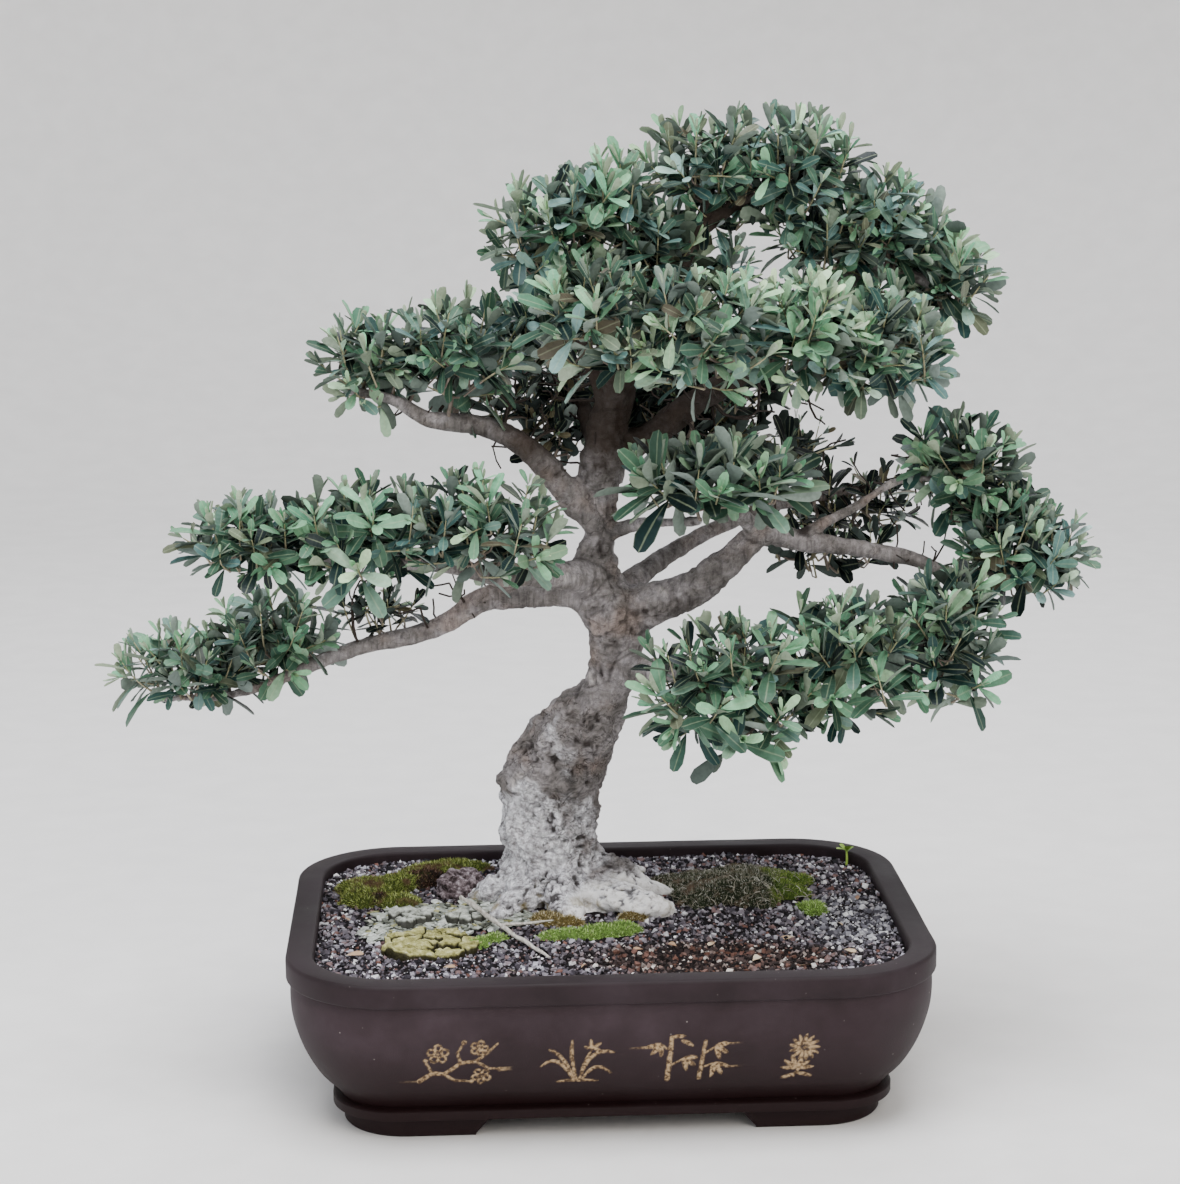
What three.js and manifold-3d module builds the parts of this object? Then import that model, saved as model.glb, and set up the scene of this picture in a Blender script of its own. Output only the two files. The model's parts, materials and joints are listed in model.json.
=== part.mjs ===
// An olive bonsai in an unglazed oval-cornered pot. Millimetres, +Z up.
// The tree leans over its long low branches, the front of the pot faces -Y,
// and the origin is the middle of the pot's base, on the surface that its feet stand on.
import * as THREE from "three";
import { mergeVertices } from "three/addons/utils/BufferGeometryUtils.js";
import Module from "manifold-3d";

const wasm = await Module();
wasm.setup();

// ---------------------------------------------------------------- driving dimensions
const POT_LENGTH = 400;
const POT_DEPTH = 300;
const POT_HEIGHT = 107;
const POT_CORNER = 68; // corner radius of the rim, seen from above
const RIM_BAND = 14; // height of the plain band round the rim
const RIM_LAND = 17; // width of the flat top of the rim
const LEDGE_BOTTOM = 12.5; // underside of the ledge that the feet carry
const FEET_LENGTH = 333;
const FEET_DEPTH = 232;
const FEET_CORNER = 40;
const FOOT_THICKNESS = 15;
const FEET_GAP = [85, 55]; // half gap between feet along the front, and along the ends
const DRAIN_AT = 95; // drainage holes sit this far left and right of the middle
const DRAIN_RADIUS = 9;
const FLOOR = 24; // inner floor of the pot
const SCREEN_SIZE = 40;
const SCREEN_THICKNESS = 1;
const SOIL_LEVEL = 99;
const SOIL_MOUND = 5; // rise of the soil towards the trunk
const GAP = 0.35; // clearance between pieces that touch
const STUMP = { x: -17, y: 42, rx: 46, ry: 40, bottom: 62 }; // root ball in its hole
const BARK_KNOBS = 4; // height of the knobs on the old lower bark
const BLADE = { length: 27, width: 10.5, thickness: 1.8 };

// ---------------------------------------------------------------- colours
const COLOUR = {
  clay: 0x3f3336,
  soil: 0x5a4f4b,
  bark: 0x857f7c,
  leaf: 0x4f6a58,
  leafPale: 0x7f9a78,
  moss: 0x54581f,
  mossDark: 0x35401f,
  mossBright: 0x7f9440,
  tuff: 0x6d636c,
  crust: 0xa3a178,
  chip: 0xa9b4b8,
  twig: 0xc4c0b4,
  sprout: 0x9fbf4a,
  screen: 0x24262a,
};

// ---------------------------------------------------------------- numbers
function hash(i, j, k) {
  const s = Math.sin(i * 127.1 + j * 311.7 + k * 74.7) * 43758.5453;
  return s - Math.floor(s);
}

// Smooth noise between -1 and 1 at a point, with cells of the given size.
function noise(x, y, z, size) {
  const p = [x / size, y / size, z / size];
  const i = p.map(Math.floor);
  const f = p.map((v, n) => THREE.MathUtils.smoothstep(v - i[n], 0, 1));
  let sum = 0;
  for (let c = 0; c < 8; c++) {
    const d = [c & 1, (c >> 1) & 1, c >> 2];
    const weight = d.reduce((w, on, n) => w * (on ? f[n] : 1 - f[n]), 1);
    sum += weight * hash(i[0] + d[0], i[1] + d[1], i[2] + d[2]);
  }
  return sum * 2 - 1;
}

function randomSource(seed) {
  let state = seed >>> 0;
  return () => {
    state = (state + 0x6d2b79f5) >>> 0;
    let t = Math.imul(state ^ (state >>> 15), 1 | state);
    t = (t + Math.imul(t ^ (t >>> 7), 61 | t)) ^ t;
    return ((t ^ (t >>> 14)) >>> 0) / 4294967296;
  };
}

const vec = (p) => new THREE.Vector3(p[0], p[1], p[2]);

// ---------------------------------------------------------------- solids
function solid(geometry) {
  let g = geometry.clone();
  g.deleteAttribute("normal");
  g.deleteAttribute("uv");
  g = mergeVertices(g, 1e-4);
  return new wasm.Manifold(
    new wasm.Mesh({
      numProp: 3,
      vertProperties: Float32Array.from(g.attributes.position.array),
      triVerts: Uint32Array.from(g.index.array),
    }),
  );
}

function geometryOf(manifold) {
  const mesh = manifold.getMesh();
  const g = new THREE.BufferGeometry();
  g.setAttribute("position", new THREE.BufferAttribute(mesh.vertProperties, 3));
  g.setIndex(new THREE.BufferAttribute(mesh.triVerts, 1));
  g.computeVertexNormals();
  return g;
}

const join = (solids) => solids.reduce((a, b) => a.add(b));

// The biggest body of a solid: loose scraps that a cut leaves are dropped.
function mainBody(manifold) {
  return manifold.decompose().reduce((a, b) => (b.volume() > a.volume() ? b : a));
}

// A closed skin over rings of points, each ring turning left as seen from the far end.
function loft(rings, start, end) {
  const n = rings[0].length;
  const points = [start, ...rings.flat(), end];
  const at = (r, i) => 1 + r * n + (i % n);
  const faces = [];
  for (let i = 0; i < n; i++) {
    faces.push(0, at(0, i + 1), at(0, i));
    for (let r = 0; r < rings.length - 1; r++) {
      faces.push(at(r, i), at(r, i + 1), at(r + 1, i + 1));
      faces.push(at(r, i), at(r + 1, i + 1), at(r + 1, i));
    }
    faces.push(points.length - 1, at(rings.length - 1, i), at(rings.length - 1, i + 1));
  }
  const g = new THREE.BufferGeometry();
  g.setAttribute("position", new THREE.Float32BufferAttribute(points.flat(), 3));
  g.setIndex(faces);
  return g;
}

// A lump: a faceted ball with three half sizes, its skin pushed in and out by noise.
function lump([x, y, z], [rx, ry, rz], rough = 0.1, detail = 1, grow = 0) {
  const ball = new THREE.OctahedronGeometry(1, detail);
  ball.rotateZ(hash(x, y, z) * 6);
  const p = ball.attributes.position;
  for (let i = 0; i < p.count; i++) {
    const k = 1 + rough * noise(p.getX(i) * 9 + x, p.getY(i) * 9 + y, p.getZ(i) * 9 + z, 7);
    p.setXYZ(
      i,
      x + p.getX(i) * (rx * k + grow),
      y + p.getY(i) * (ry * k + grow),
      z + p.getZ(i) * (rz * k + grow),
    );
  }
  return solid(ball);
}

// A tapered limb through points [x, y, z, radius], with a pointed cap at each end.
function limb(points, sides, grow = 0) {
  const centres = points.map(vec);
  const curve = new THREE.CatmullRomCurve3(centres);
  const last = centres.length - 1;
  const tangents = centres.map((_, i) => curve.getTangent(i / last));
  let across = new THREE.Vector3(0, 0, 1).cross(tangents[0]);
  if (across.length() < 0.2) across = new THREE.Vector3(1, 0, 0);
  const rings = centres.map((c, i) => {
    const t = tangents[i];
    across.addScaledVector(t, -across.dot(t)).normalize();
    const up = t.clone().cross(across);
    const r = points[i][3] + grow;
    return Array.from({ length: sides }, (_, k) => {
      const a = (k / sides) * Math.PI * 2;
      return c
        .clone()
        .addScaledVector(across, r * Math.cos(a))
        .addScaledVector(up, r * Math.sin(a))
        .toArray();
    });
  });
  const cap = (i, sign) =>
    centres[i].clone().addScaledVector(tangents[i], sign * (points[i][3] * 0.6 + grow)).toArray();
  return solid(loft(rings, cap(0, -1), cap(last, 1)));
}

// ---------------------------------------------------------------- pot
// Points of a rectangle with round corners, turning left from the right-hand side.
function roundedRing(halfLength, halfDepth, radius, z, perCorner = 5, along = [1, 1]) {
  const ring = [];
  const corners = [
    [1, 1],
    [-1, 1],
    [-1, -1],
    [1, -1],
  ];
  corners.forEach(([sx, sy], c) => {
    const cx = sx * (halfLength - radius);
    const cy = sy * (halfDepth - radius);
    for (let i = 0; i <= perCorner; i++) {
      const a = ((c + i / perCorner) * Math.PI) / 2;
      ring.push([cx + radius * Math.cos(a), cy + radius * Math.sin(a), z]);
    }
    const steps = along[c % 2];
    const from = ring[ring.length - 1];
    const [nx, ny] = corners[(c + 1) % 4];
    const a = ((c + 1) * Math.PI) / 2;
    const to = [
      nx * (halfLength - radius) + radius * Math.cos(a),
      ny * (halfDepth - radius) + radius * Math.sin(a),
    ];
    for (let i = 1; i < steps; i++) {
      ring.push([
        from[0] + ((to[0] - from[0]) * i) / steps,
        from[1] + ((to[1] - from[1]) * i) / steps,
        z,
      ]);
    }
  });
  return ring;
}

// A ring of the pot's outline, moved in from the rim's edge by an inset.
function potRing(inset, z, perCorner, along) {
  const radius = Math.max(POT_CORNER - inset, 26);
  return roundedRing(POT_LENGTH / 2 - inset, POT_DEPTH / 2 - inset, radius, z, perCorner, along);
}

const BAND_BOTTOM = POT_HEIGHT - RIM_BAND;
// [inset from the rim's edge, height] up the outside: ledge, belly, groove, rim band
const OUTSIDE = [
  [28, LEDGE_BOTTOM],
  [27, LEDGE_BOTTOM + 1],
  [27, 18.6],
  [29, 19.8],
  [32, 20.4],
  [27.4, 26],
  [19.4, 34],
  [12.4, 45],
  [6.8, 58],
  [3.4, 71],
  [2.4, 84],
  [3.4, BAND_BOTTOM - 1],
  [0.8, BAND_BOTTOM],
  [0, BAND_BOTTOM + 1.6],
  [0, POT_HEIGHT - 1.6],
  [1.4, POT_HEIGHT],
];
// down the inside, from the rim's inner lip to the floor
const INSIDE = [
  [RIM_LAND - 1.6, POT_HEIGHT],
  [RIM_LAND, POT_HEIGHT - 1.6],
  [RIM_LAND, 93],
  [13.5, 82],
  [15.5, 62],
  [22, 45],
  [31, 33],
  [41, 26],
  [52, FLOOR],
];

function makePot() {
  const rings = [...OUTSIDE, ...INSIDE].map(([inset, z]) => potRing(inset, z));
  const bowl = solid(loft(rings, [0, 0, LEDGE_BOTTOM], [0, 0, FLOOR]));

  // a skirt under the ledge, cut through between its four corners into bracket feet
  const skirt = (inset, bottom, top) => {
    const low = roundedRing(
      FEET_LENGTH / 2 - inset, FEET_DEPTH / 2 - inset, FEET_CORNER - inset, bottom);
    const high = low.map(([x, y]) => [x, y, top]);
    return solid(loft([low, high], [0, 0, bottom], [0, 0, top]));
  };
  const top = LEDGE_BOTTOM + 3;
  let feet = skirt(0, 0, top).subtract(skirt(FOOT_THICKNESS, -1, top + 1));
  const [gapX, gapY] = FEET_GAP;
  const slant = 9; // the feet's ends lean, so a foot is longer where it meets the ledge
  const opening = (halfGap, reach) =>
    new THREE.ExtrudeGeometry(
      new THREE.Shape([
        new THREE.Vector2(-halfGap - 1, -1),
        new THREE.Vector2(halfGap + 1, -1),
        new THREE.Vector2(halfGap - slant, top + 1),
        new THREE.Vector2(-halfGap + slant, top + 1),
      ]),
      { depth: reach, bevelEnabled: false },
    ).translate(0, 0, -reach / 2);
  const frontToBack = opening(gapX, POT_DEPTH).rotateX(Math.PI / 2);
  const sideToSide = opening(gapY, POT_LENGTH).rotateX(Math.PI / 2).rotateZ(Math.PI / 2);
  feet = feet.subtract(solid(frontToBack)).subtract(solid(sideToSide));

  let pot = bowl.add(feet);
  for (const side of [-1, 1]) {
    const hole = new THREE.CylinderGeometry(DRAIN_RADIUS, DRAIN_RADIUS, 40, 20);
    pot = pot.subtract(solid(hole.rotateX(Math.PI / 2).translate(side * DRAIN_AT, 0, FLOOR)));
  }
  return pot;
}

// ---------------------------------------------------------------- drainage screens
function makeScreen(side) {
  const cells = 3;
  const pitch = SCREEN_SIZE / cells;
  const z = FLOOR + GAP + SCREEN_THICKNESS / 2;
  const plate = new THREE.BoxGeometry(SCREEN_SIZE, SCREEN_SIZE, SCREEN_THICKNESS);
  let screen = solid(plate.translate(side * DRAIN_AT, 0, z));
  for (let i = 0; i < cells; i++) {
    for (let j = 0; j < cells; j++) {
      const hole = new THREE.BoxGeometry(pitch - 3, pitch - 3, 3);
      const x = side * DRAIN_AT + (i - (cells - 1) / 2) * pitch;
      screen = screen.subtract(solid(hole.translate(x, (j - (cells - 1) / 2) * pitch, z)));
    }
  }
  return screen;
}

// ---------------------------------------------------------------- soil
function soilHeight(x, y) {
  const d = ((x + 12) / 95) ** 2 + ((y - 34) / 70) ** 2;
  const grain = 1.3 * noise(x, y, 5, 17) + 1.6 * noise(x, y, 9, 46);
  return SOIL_LEVEL + SOIL_MOUND * Math.exp(-d) + grain;
}

// The soil's full body, without the root hole. lift raises the top, for clearances.
function soilBody(lift = 0) {
  const perCorner = 5;
  const along = [5, 3];
  const wall = INSIDE.filter(([, z]) => z < 94).reverse();
  const rings = wall.map(([inset, z]) =>
    potRing(inset + GAP, z === FLOOR ? FLOOR + GAP : z, perCorner, along));
  const edge = potRing(RIM_LAND + GAP, 0, perCorner, along);
  for (const s of [1, 0.93, 0.82, 0.7, 0.56, 0.42, 0.26, 0.12]) {
    rings.push(edge.map(([x, y]) => [x * s, y * s, soilHeight(x * s, y * s) + lift]));
  }
  return solid(loft(rings, [0, 0, FLOOR + GAP], [0, 0, soilHeight(0, 0) + lift]));
}

function stumpPrism(grow, bottom, top) {
  const g = new THREE.CylinderGeometry(1, 1, top - bottom, 28).rotateX(Math.PI / 2);
  g.scale(STUMP.rx + grow, STUMP.ry + grow, 1);
  return solid(g.translate(STUMP.x, STUMP.y, (top + bottom) / 2));
}

const RAISED_SOIL = soilBody(GAP);

function makeSoil() {
  let soil = soilBody().subtract(stumpPrism(GAP, STUMP.bottom - GAP, 130));
  const w = SCREEN_SIZE + 2 * GAP;
  for (const side of [-1, 1]) {
    const pocket = new THREE.BoxGeometry(w, w, 2 * (SCREEN_THICKNESS + GAP));
    soil = soil.subtract(solid(pocket.translate(side * DRAIN_AT, 0, FLOOR + GAP)));
  }
  return soil;
}

// ---------------------------------------------------------------- wood
// the trunk's middle line, and its width seen from the front
const TRUNK = [
  [-18, 43, 92, 98],
  [-19, 43, 99, 92],
  [-22, 44, 106, 84],
  [-27, 46, 114, 76],
  [-30, 48, 123, 70],
  [-29, 47, 132, 66],
  [-32, 46, 145, 68],
  [-32, 44, 157, 69],
  [-32, 43, 169, 69],
  [-31, 41, 181, 71],
  [-27, 39, 194, 70],
  [-21, 37, 208, 68],
  [-14, 34, 222, 62],
  [-6, 31, 236, 53],
  [6, 29, 249, 40],
  [9, 27, 263, 38],
  [11, 25, 276, 42],
  [9, 24, 290, 50],
  [3, 22, 303, 52],
  [-2, 21, 317, 40],
  [-4, 20, 332, 33],
  [0, 18, 349, 25],
  [0, 16, 369, 27],
  [0, 14, 388, 30],
];
const SMOOTH_BARK_FROM = 236; // knobs fade out above this height

// [x, y, z, radius] down each limb
const LIMBS = {
  left_low: [
    [-2, 22, 311, 15], [-26, 22, 312, 13], [-51, 20, 310, 10.8], [-76, 20, 305, 8],
    [-104, 20, 288, 6.6], [-134, 18, 279, 5.7], [-166, 16, 274, 5], [-196, 14, 261, 3.9],
    [-228, 12, 250, 3.2], [-284, 10, 246, 2],
  ],
  left_mid: [
    [-2, 18, 321, 11], [-14, 8, 322, 10.5], [-36, -10, 325, 8.1], [-65, -25, 329, 6.2],
    [-101, -35, 338, 4.9], [-148, -43, 343, 3.7], [-222, -45, 348, 2.4],
  ],
  left_upper: [
    [0, 17, 354, 11], [-21, 10, 376, 10.8], [-38, 5, 395, 9.5], [-59, 0, 413, 8.2],
    [-81, 0, 420, 7.6], [-106, -4, 424, 6.3], [-130, -6, 437, 3.8], [-155, -6, 443, 2.8],
  ],
  right_main: [
    [12, 23, 290, 19], [34, 15, 303, 16], [56, 5, 312, 13.5], [71, 0, 326, 11.3],
    [90, 0, 341, 9.4], [106, 2, 349, 8.2], [126, 8, 342, 7], [165, 12, 336, 6.2],
    [203, 12, 326, 5.9], [230, 4, 319, 5], [282, -8, 330, 2.6],
  ],
  right_fork: [[100, 2, 346, 7.4], [85, -20, 364, 5], [73, -40, 377, 3.6]],
  thin_fork: [[3, 16, 347, 6], [30, -10, 359, 3.5], [58, -40, 364, 3.1]],
  right_upper: [[120, 6, 343, 5.6], [159, 20, 359, 4.5], [191, 20, 378, 3.8], [227, 10, 379, 3.1]],
  leader: [
    [0, 15, 380, 15], [3, 10, 408, 12.7], [9, 10, 433, 11.4], [19, 5, 464, 9.5],
    [31, 0, 496, 8.2], [49, 0, 520, 6.9], [62, 0, 544, 5], [68, 4, 562, 3],
  ],
  leader_end: [[58, 0, 536, 5], [84, 4, 554, 4], [108, 8, 566, 3.2], [126, 10, 574, 2.4]],
  leader_left: [[7, 10, 424, 8], [-4, 6, 452, 5.6], [-14, 2, 482, 4.4], [-28, -3, 518, 3]],
  leader_right: [
    [4, 13, 397, 12], [32, 20, 409, 9.6], [64, 25, 430, 8.3], [101, 20, 456, 7],
    [138, 15, 493, 5.7], [175, 10, 512, 4.4], [212, 5, 501, 3.3],
  ],
  low_front: [
    [10, 25, 257, 10], [50, -20, 265, 7], [84, -52, 270, 5.6], [116, -62, 275, 4.8],
    [150, -54, 280, 4], [208, -37, 285, 2.6],
  ],
  low_back: [
    [8, 28, 302, 11], [24, 42, 314, 7.5], [60, 62, 332, 5.8], [104, 76, 350, 4.6],
    [176, 95, 361, 2.8],
  ],
  back_centre: [[0, 20, 362, 9], [6, 42, 384, 5.5], [20, 66, 402, 4.2], [34, 84, 416, 3]],
  back_left: [[0, 14, 402, 8], [-14, 46, 434, 5], [-28, 78, 456, 3.8], [-36, 94, 464, 2.8]],
  back_top: [[12, 10, 440, 8], [34, 46, 466, 4.8], [50, 84, 488, 3.8], [60, 106, 498, 2.8]],
  back_right: [[92, 21, 450, 6.2], [122, 56, 460, 4.6], [150, 86, 466, 3.6], [172, 102, 468, 2.8]],
  heart_left: [[8, 10, 430, 7], [2, -18, 458, 4.6], [-3, -48, 484, 3.2]],
  heart_mid: [[17, 6, 458, 7], [36, -30, 470, 4.6], [54, -62, 480, 3.2]],
  heart_right: [[98, 20, 454, 6], [110, -12, 468, 4.4], [118, -44, 480, 3.2]],
  heart_far: [[134, 15, 489, 5], [156, -8, 482, 3.8], [175, -26, 474, 2.8]],
};
const limbSides = (points) => (points[0][3] > 9 ? 6 : 5);

// swellings of the old wood: [x, y, z, reach, height]
const BURLS = [
  [-49, 14, 189, 11, 5], // round burl
  [-66, 36, 187, 12, 6], // nose on the left edge
  [-66, 38, 154, 14, 5],
  [-62, 34, 139, 13, 6],
  [-8, 12, 208, 13, 3], // ring-shaped knot
  [4, 36, 162, 12, 3],
  [-70, 28, 122, 16, 12], // root lobes, from the left round the front to the right
  [-78, 20, 106, 18, 14],
  [-36, 2, 128, 14, 8],
  [-44, -6, 106, 20, 18],
  [-10, 6, 132, 12, 8],
  [-8, -6, 106, 18, 20],
  [14, 18, 120, 15, 14],
  [34, 26, 104, 20, 18],
  [26, -6, 103, 22, 26], // pale root slab at the front
  [-70, 66, 106, 20, 14], // behind
  [-24, 94, 106, 22, 12],
  [24, 74, 106, 20, 14],
];

// The trunk's skin: bark knobs and burls push its rings outwards.
function trunkRings(grow) {
  const sides = 18;
  return TRUNK.map(([x, y, z, width]) =>
    Array.from({ length: sides }, (_, i) => {
      const a = (i / sides) * Math.PI * 2;
      const [c, s] = [Math.cos(a), Math.sin(a)];
      const r = width / 2 - 2;
      const at = new THREE.Vector3(x + c * r, y + s * r * 0.9, z);
      const fade = THREE.MathUtils.smoothstep(z, SMOOTH_BARK_FROM - 14, SMOOTH_BARK_FROM + 8);
      let out = BARK_KNOBS * (1 - 0.75 * fade) * noise(at.x, at.y, z, 13) + grow;
      for (const [bx, by, bz, reach, height] of BURLS) {
        const d = at.distanceTo(new THREE.Vector3(bx, by, bz)) / reach;
        out += height * Math.exp(-d * d * 1.6);
      }
      return [at.x + c * out, at.y + s * out, z];
    }));
}

// Leafy bunches. Each lump has a centre and half sizes that reach the leaf tips;
// share is how many leaves it has for its size.
const BUNCHES = {
  foliage_left_low: [
    [[-262, 12, 266], [55, 42, 31]],
    [[-192, 20, 284], [64, 50, 33]],
  ],
  foliage_left_mid: [
    [[-213, -45, 359], [54, 40, 29]],
    [[-144, -46, 361], [60, 46, 36]],
    [[-72, -52, 363], [56, 44, 38]],
  ],
  foliage_left_upper: [
    [[-145, 0, 464], [40, 38, 33]],
    [[-90, 2, 474], [46, 44, 38]],
  ],
  foliage_top_left: [[[-31, -5, 538], [51, 46, 41]]],
  foliage_apex: [
    [[62, 10, 573], [54, 48, 46]],
    [[126, 10, 580], [60, 50, 47]],
  ],
  foliage_top_right: [
    [[182, 16, 532], [52, 44, 40]],
    [[222, 10, 510], [40, 38, 36]],
  ],
  foliage_heart: [
    [[-4, -60, 494], [46, 38, 38]],
    [[58, -70, 484], [52, 40, 44]],
  ],
  foliage_heart_right: [
    [[120, -52, 486], [40, 38, 42]],
    [[177, -32, 472], [44, 40, 42]],
  ],
  foliage_inner_centre: [[[68, -58, 391], [62, 40, 28]]],
  foliage_right_shoulder: [[[232, 20, 388], [50, 44, 36]]],
  foliage_right_tip: [[[274, -5, 340], [46, 40, 36]]],
  foliage_low_right: [
    [[78, -78, 266], [62, 44, 45]],
    [[142, -60, 280], [50, 46, 48]],
    [[206, -38, 286], [46, 42, 48]],
  ],
  foliage_low_back: [[[168, 95, 362], [60, 40, 33]]],
  foliage_back_centre: [[[32, 84, 424], [70, 36, 28]]],
  foliage_back_left: [[[-36, 94, 470], [53, 38, 34]]],
  foliage_back_top: [[[60, 106, 508], [58, 38, 36]]],
  foliage_back_right: [[[172, 102, 474], [56, 38, 34]]],
  foliage_back_inner: [[[100, 66, 400], [50, 34, 26]]],
};
const LEAF_REACH = 19; // leaves stand this far out of their bunch's middle
const LEAF_PAIR_AREA = 4300; // surface of a bunch, at its leaf tips, for one pair of leaves

// A thin twig that carries each lump of leaves from the nearest limb.
function twigs(grow) {
  const made = [];
  for (const lumps of Object.values(BUNCHES)) {
    for (const [centre, half] of lumps) {
      const tip = vec(centre).add(new THREE.Vector3(0, 0, half[2] * 0.15));
      let from = null;
      for (const points of Object.values(LIMBS)) {
        for (const p of points.slice(1)) {
          const d = vec(p).distanceTo(tip);
          if (!from || d < from.d) from = { d, p };
        }
      }
      if (from.d < 16) continue;
      const r = Math.min(2.4, from.p[3] * 0.8);
      made.push(limb([from.p.slice(0, 3).concat(r), [...tip.toArray(), 1.2]], 4, grow));
    }
  }
  return made;
}

function woodSolids(grow) {
  const [tx, ty, tz] = TRUNK[TRUNK.length - 1];
  const [bx, by, bz] = TRUNK[0];
  const trunk = loft(trunkRings(grow), [bx, by, bz - 2 - grow], [tx, ty, tz + 4 + grow]);
  return [
    solid(trunk),
    ...Object.values(LIMBS).map((points) => limb(points, limbSides(points), grow)),
    ...twigs(grow),
  ];
}

const WOOD_CLEARANCE = join(woodSolids(GAP + 0.1));

function makeWood() {
  const aboveSoil = join(woodSolids(0)).subtract(RAISED_SOIL);
  return mainBody(aboveSoil.add(stumpPrism(0, STUMP.bottom, 106)));
}

// ---------------------------------------------------------------- foliage
// One olive leaf: a four-pointed blade, widest past its middle and thickest along its rib.
function blade(base, direction, across, length, width, grow = 0) {
  const n = direction.clone().cross(across).normalize();
  const place = (u, v, w) =>
    base.clone()
      .addScaledVector(direction, u)
      .addScaledVector(across, v)
      .addScaledVector(n, w)
      .toArray();
  const l = length + grow;
  const w = width / 2 + grow;
  const t = BLADE.thickness / 2 + grow;
  const ring = [
    [-grow, 0], [length * 0.6, -w], [l, 0], [length * 0.6, w],
  ].map(([u, v]) => place(u, v, 0));
  return solid(loft([ring], place(length * 0.55, 0, -t), place(length * 0.55, 0, t)));
}

// Leaf pairs spread evenly over a lump, pointing outwards and a little upwards.
function leafSites([centre, half], random) {
  const [a, b, c] = heartSize(half);
  const [p, q, r] = half;
  const area = 4 * Math.PI * ((((p * q) ** 1.6 + (p * r) ** 1.6 + (q * r) ** 1.6) / 3) ** 0.625);
  const pairs = Math.max(5, Math.round(area / LEAF_PAIR_AREA));
  const golden = Math.PI * (3 - Math.sqrt(5));
  const turn = random() * 6;
  return Array.from({ length: pairs }, (_, i) => {
    const z = 1 - (2 * i + 1) / pairs;
    const flat = Math.sqrt(1 - z * z);
    const angle = i * golden + turn;
    const out = new THREE.Vector3(flat * Math.cos(angle), flat * Math.sin(angle), z);
    const root = new THREE.Vector3(a * out.x, b * out.y, c * out.z).multiplyScalar(0.74);
    const normal = new THREE.Vector3(out.x / a, out.y / b, out.z / c).normalize();
    return { root: root.add(vec(centre)), normal };
  });
}

const taken = []; // clearance shapes of the bunches made so far

function boxesMeet(a, b) {
  return [0, 1, 2].every((i) => a.min[i] <= b.max[i] && b.min[i] <= a.max[i]);
}

function crosses(shape, others) {
  const box = shape.boundingBox();
  return others.some((other) =>
    boxesMeet(box, other.box) && shape.intersect(other.shape).volume() > 1e-6);
}

function keep(shape) {
  return { shape, box: shape.boundingBox() };
}

const heartSize = (half) => half.map((h) => Math.max(10, h - LEAF_REACH));

// The dense middle of each lump, and a smaller one between neighbours, as [centre, half sizes].
function heartsOf(lumps) {
  const hearts = lumps.map(([centre, half]) => [centre, heartSize(half)]);
  for (let i = 1; i < lumps.length; i++) {
    const [[a, ha], [b, hb]] = [hearts[i - 1], hearts[i]];
    hearts.push([a.map((v, n) => (v + b[n]) / 2), ha.map((v, n) => (n ? 0.72 : 0.85) * Math.min(v, hb[n]))]);
  }
  return hearts;
}

function makeBunch(lumps, seed) {
  const random = randomSource(seed);
  const hearts = heartsOf(lumps);
  const heart = ([centre, half], grow) => lump(centre, half, 0.14, 1, grow);
  let core = join(hearts.map((h) => heart(h, 0))).subtract(WOOD_CLEARANCE);
  for (const other of taken) {
    if (boxesMeet(core.boundingBox(), other.box)) core = core.subtract(other.shape);
  }
  core = mainBody(core);

  const obstacles = [...taken, keep(WOOD_CLEARANCE)];
  const leaves = [];
  const clear = [];
  for (const l of lumps) {
    const inOtherLump = (p) => lumps.some(([centre, half]) => {
      const [a, b, c] = heartSize(half);
      const q = p.clone().sub(vec(centre));
      return centre !== l[0] && (q.x / a) ** 2 + (q.y / b) ** 2 + (q.z / c) ** 2 < 0.8;
    });
    for (const { root, normal } of leafSites(l, random)) {
      if (inOtherLump(root)) continue;
      const jitter = new THREE.Vector3(random() - 0.5, random() - 0.5, random() - 0.5);
      const shoot = normal.clone().multiplyScalar(0.7).add(new THREE.Vector3(0, 0, 0.3));
      shoot.addScaledVector(jitter, 1.1).normalize();
      const face = normal.clone().addScaledVector(shoot, -normal.dot(shoot)).normalize();
      for (const side of [-1, 1]) {
        for (let tries = 0; tries < 3; tries++) {
          const open = (0.4 + 0.25 * random() + 0.3 * tries) * side;
          const direction = shoot.clone().applyAxisAngle(face, open);
          const across = face.clone().cross(direction).applyAxisAngle(direction, random() - 0.5);
          const length = BLADE.length * (0.85 + 0.3 * random());
          const width = BLADE.width * (0.9 + 0.2 * random());
          const args = [root, direction, across, length, width];
          const grown = blade(...args, GAP);
          if (crosses(grown, obstacles)) continue;
          leaves.push(blade(...args));
          clear.push(keep(grown));
          break;
        }
      }
    }
  }
  taken.push(...hearts.map((h) => keep(heart(h, GAP + 0.1))), ...clear);
  return mainBody(join([core, ...leaves]));
}

// ---------------------------------------------------------------- on the soil
const onSoil = []; // clearance shapes of what already lies on the soil

// Settles a shape on the soil: it ends just above the soil, wood and earlier pieces.
function settle(make) {
  let shape = make(0).subtract(RAISED_SOIL).subtract(WOOD_CLEARANCE);
  for (const other of onSoil) shape = shape.subtract(other);
  onSoil.push(make(GAP));
  return mainBody(shape);
}

const cushion = (centre, half, rough = 0.12, detail = 2) => (grow) =>
  lump(centre, half, rough, detail, grow);
const ground = (x, y, up = 0) => [x, y, soilHeight(x, y) + up];

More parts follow.
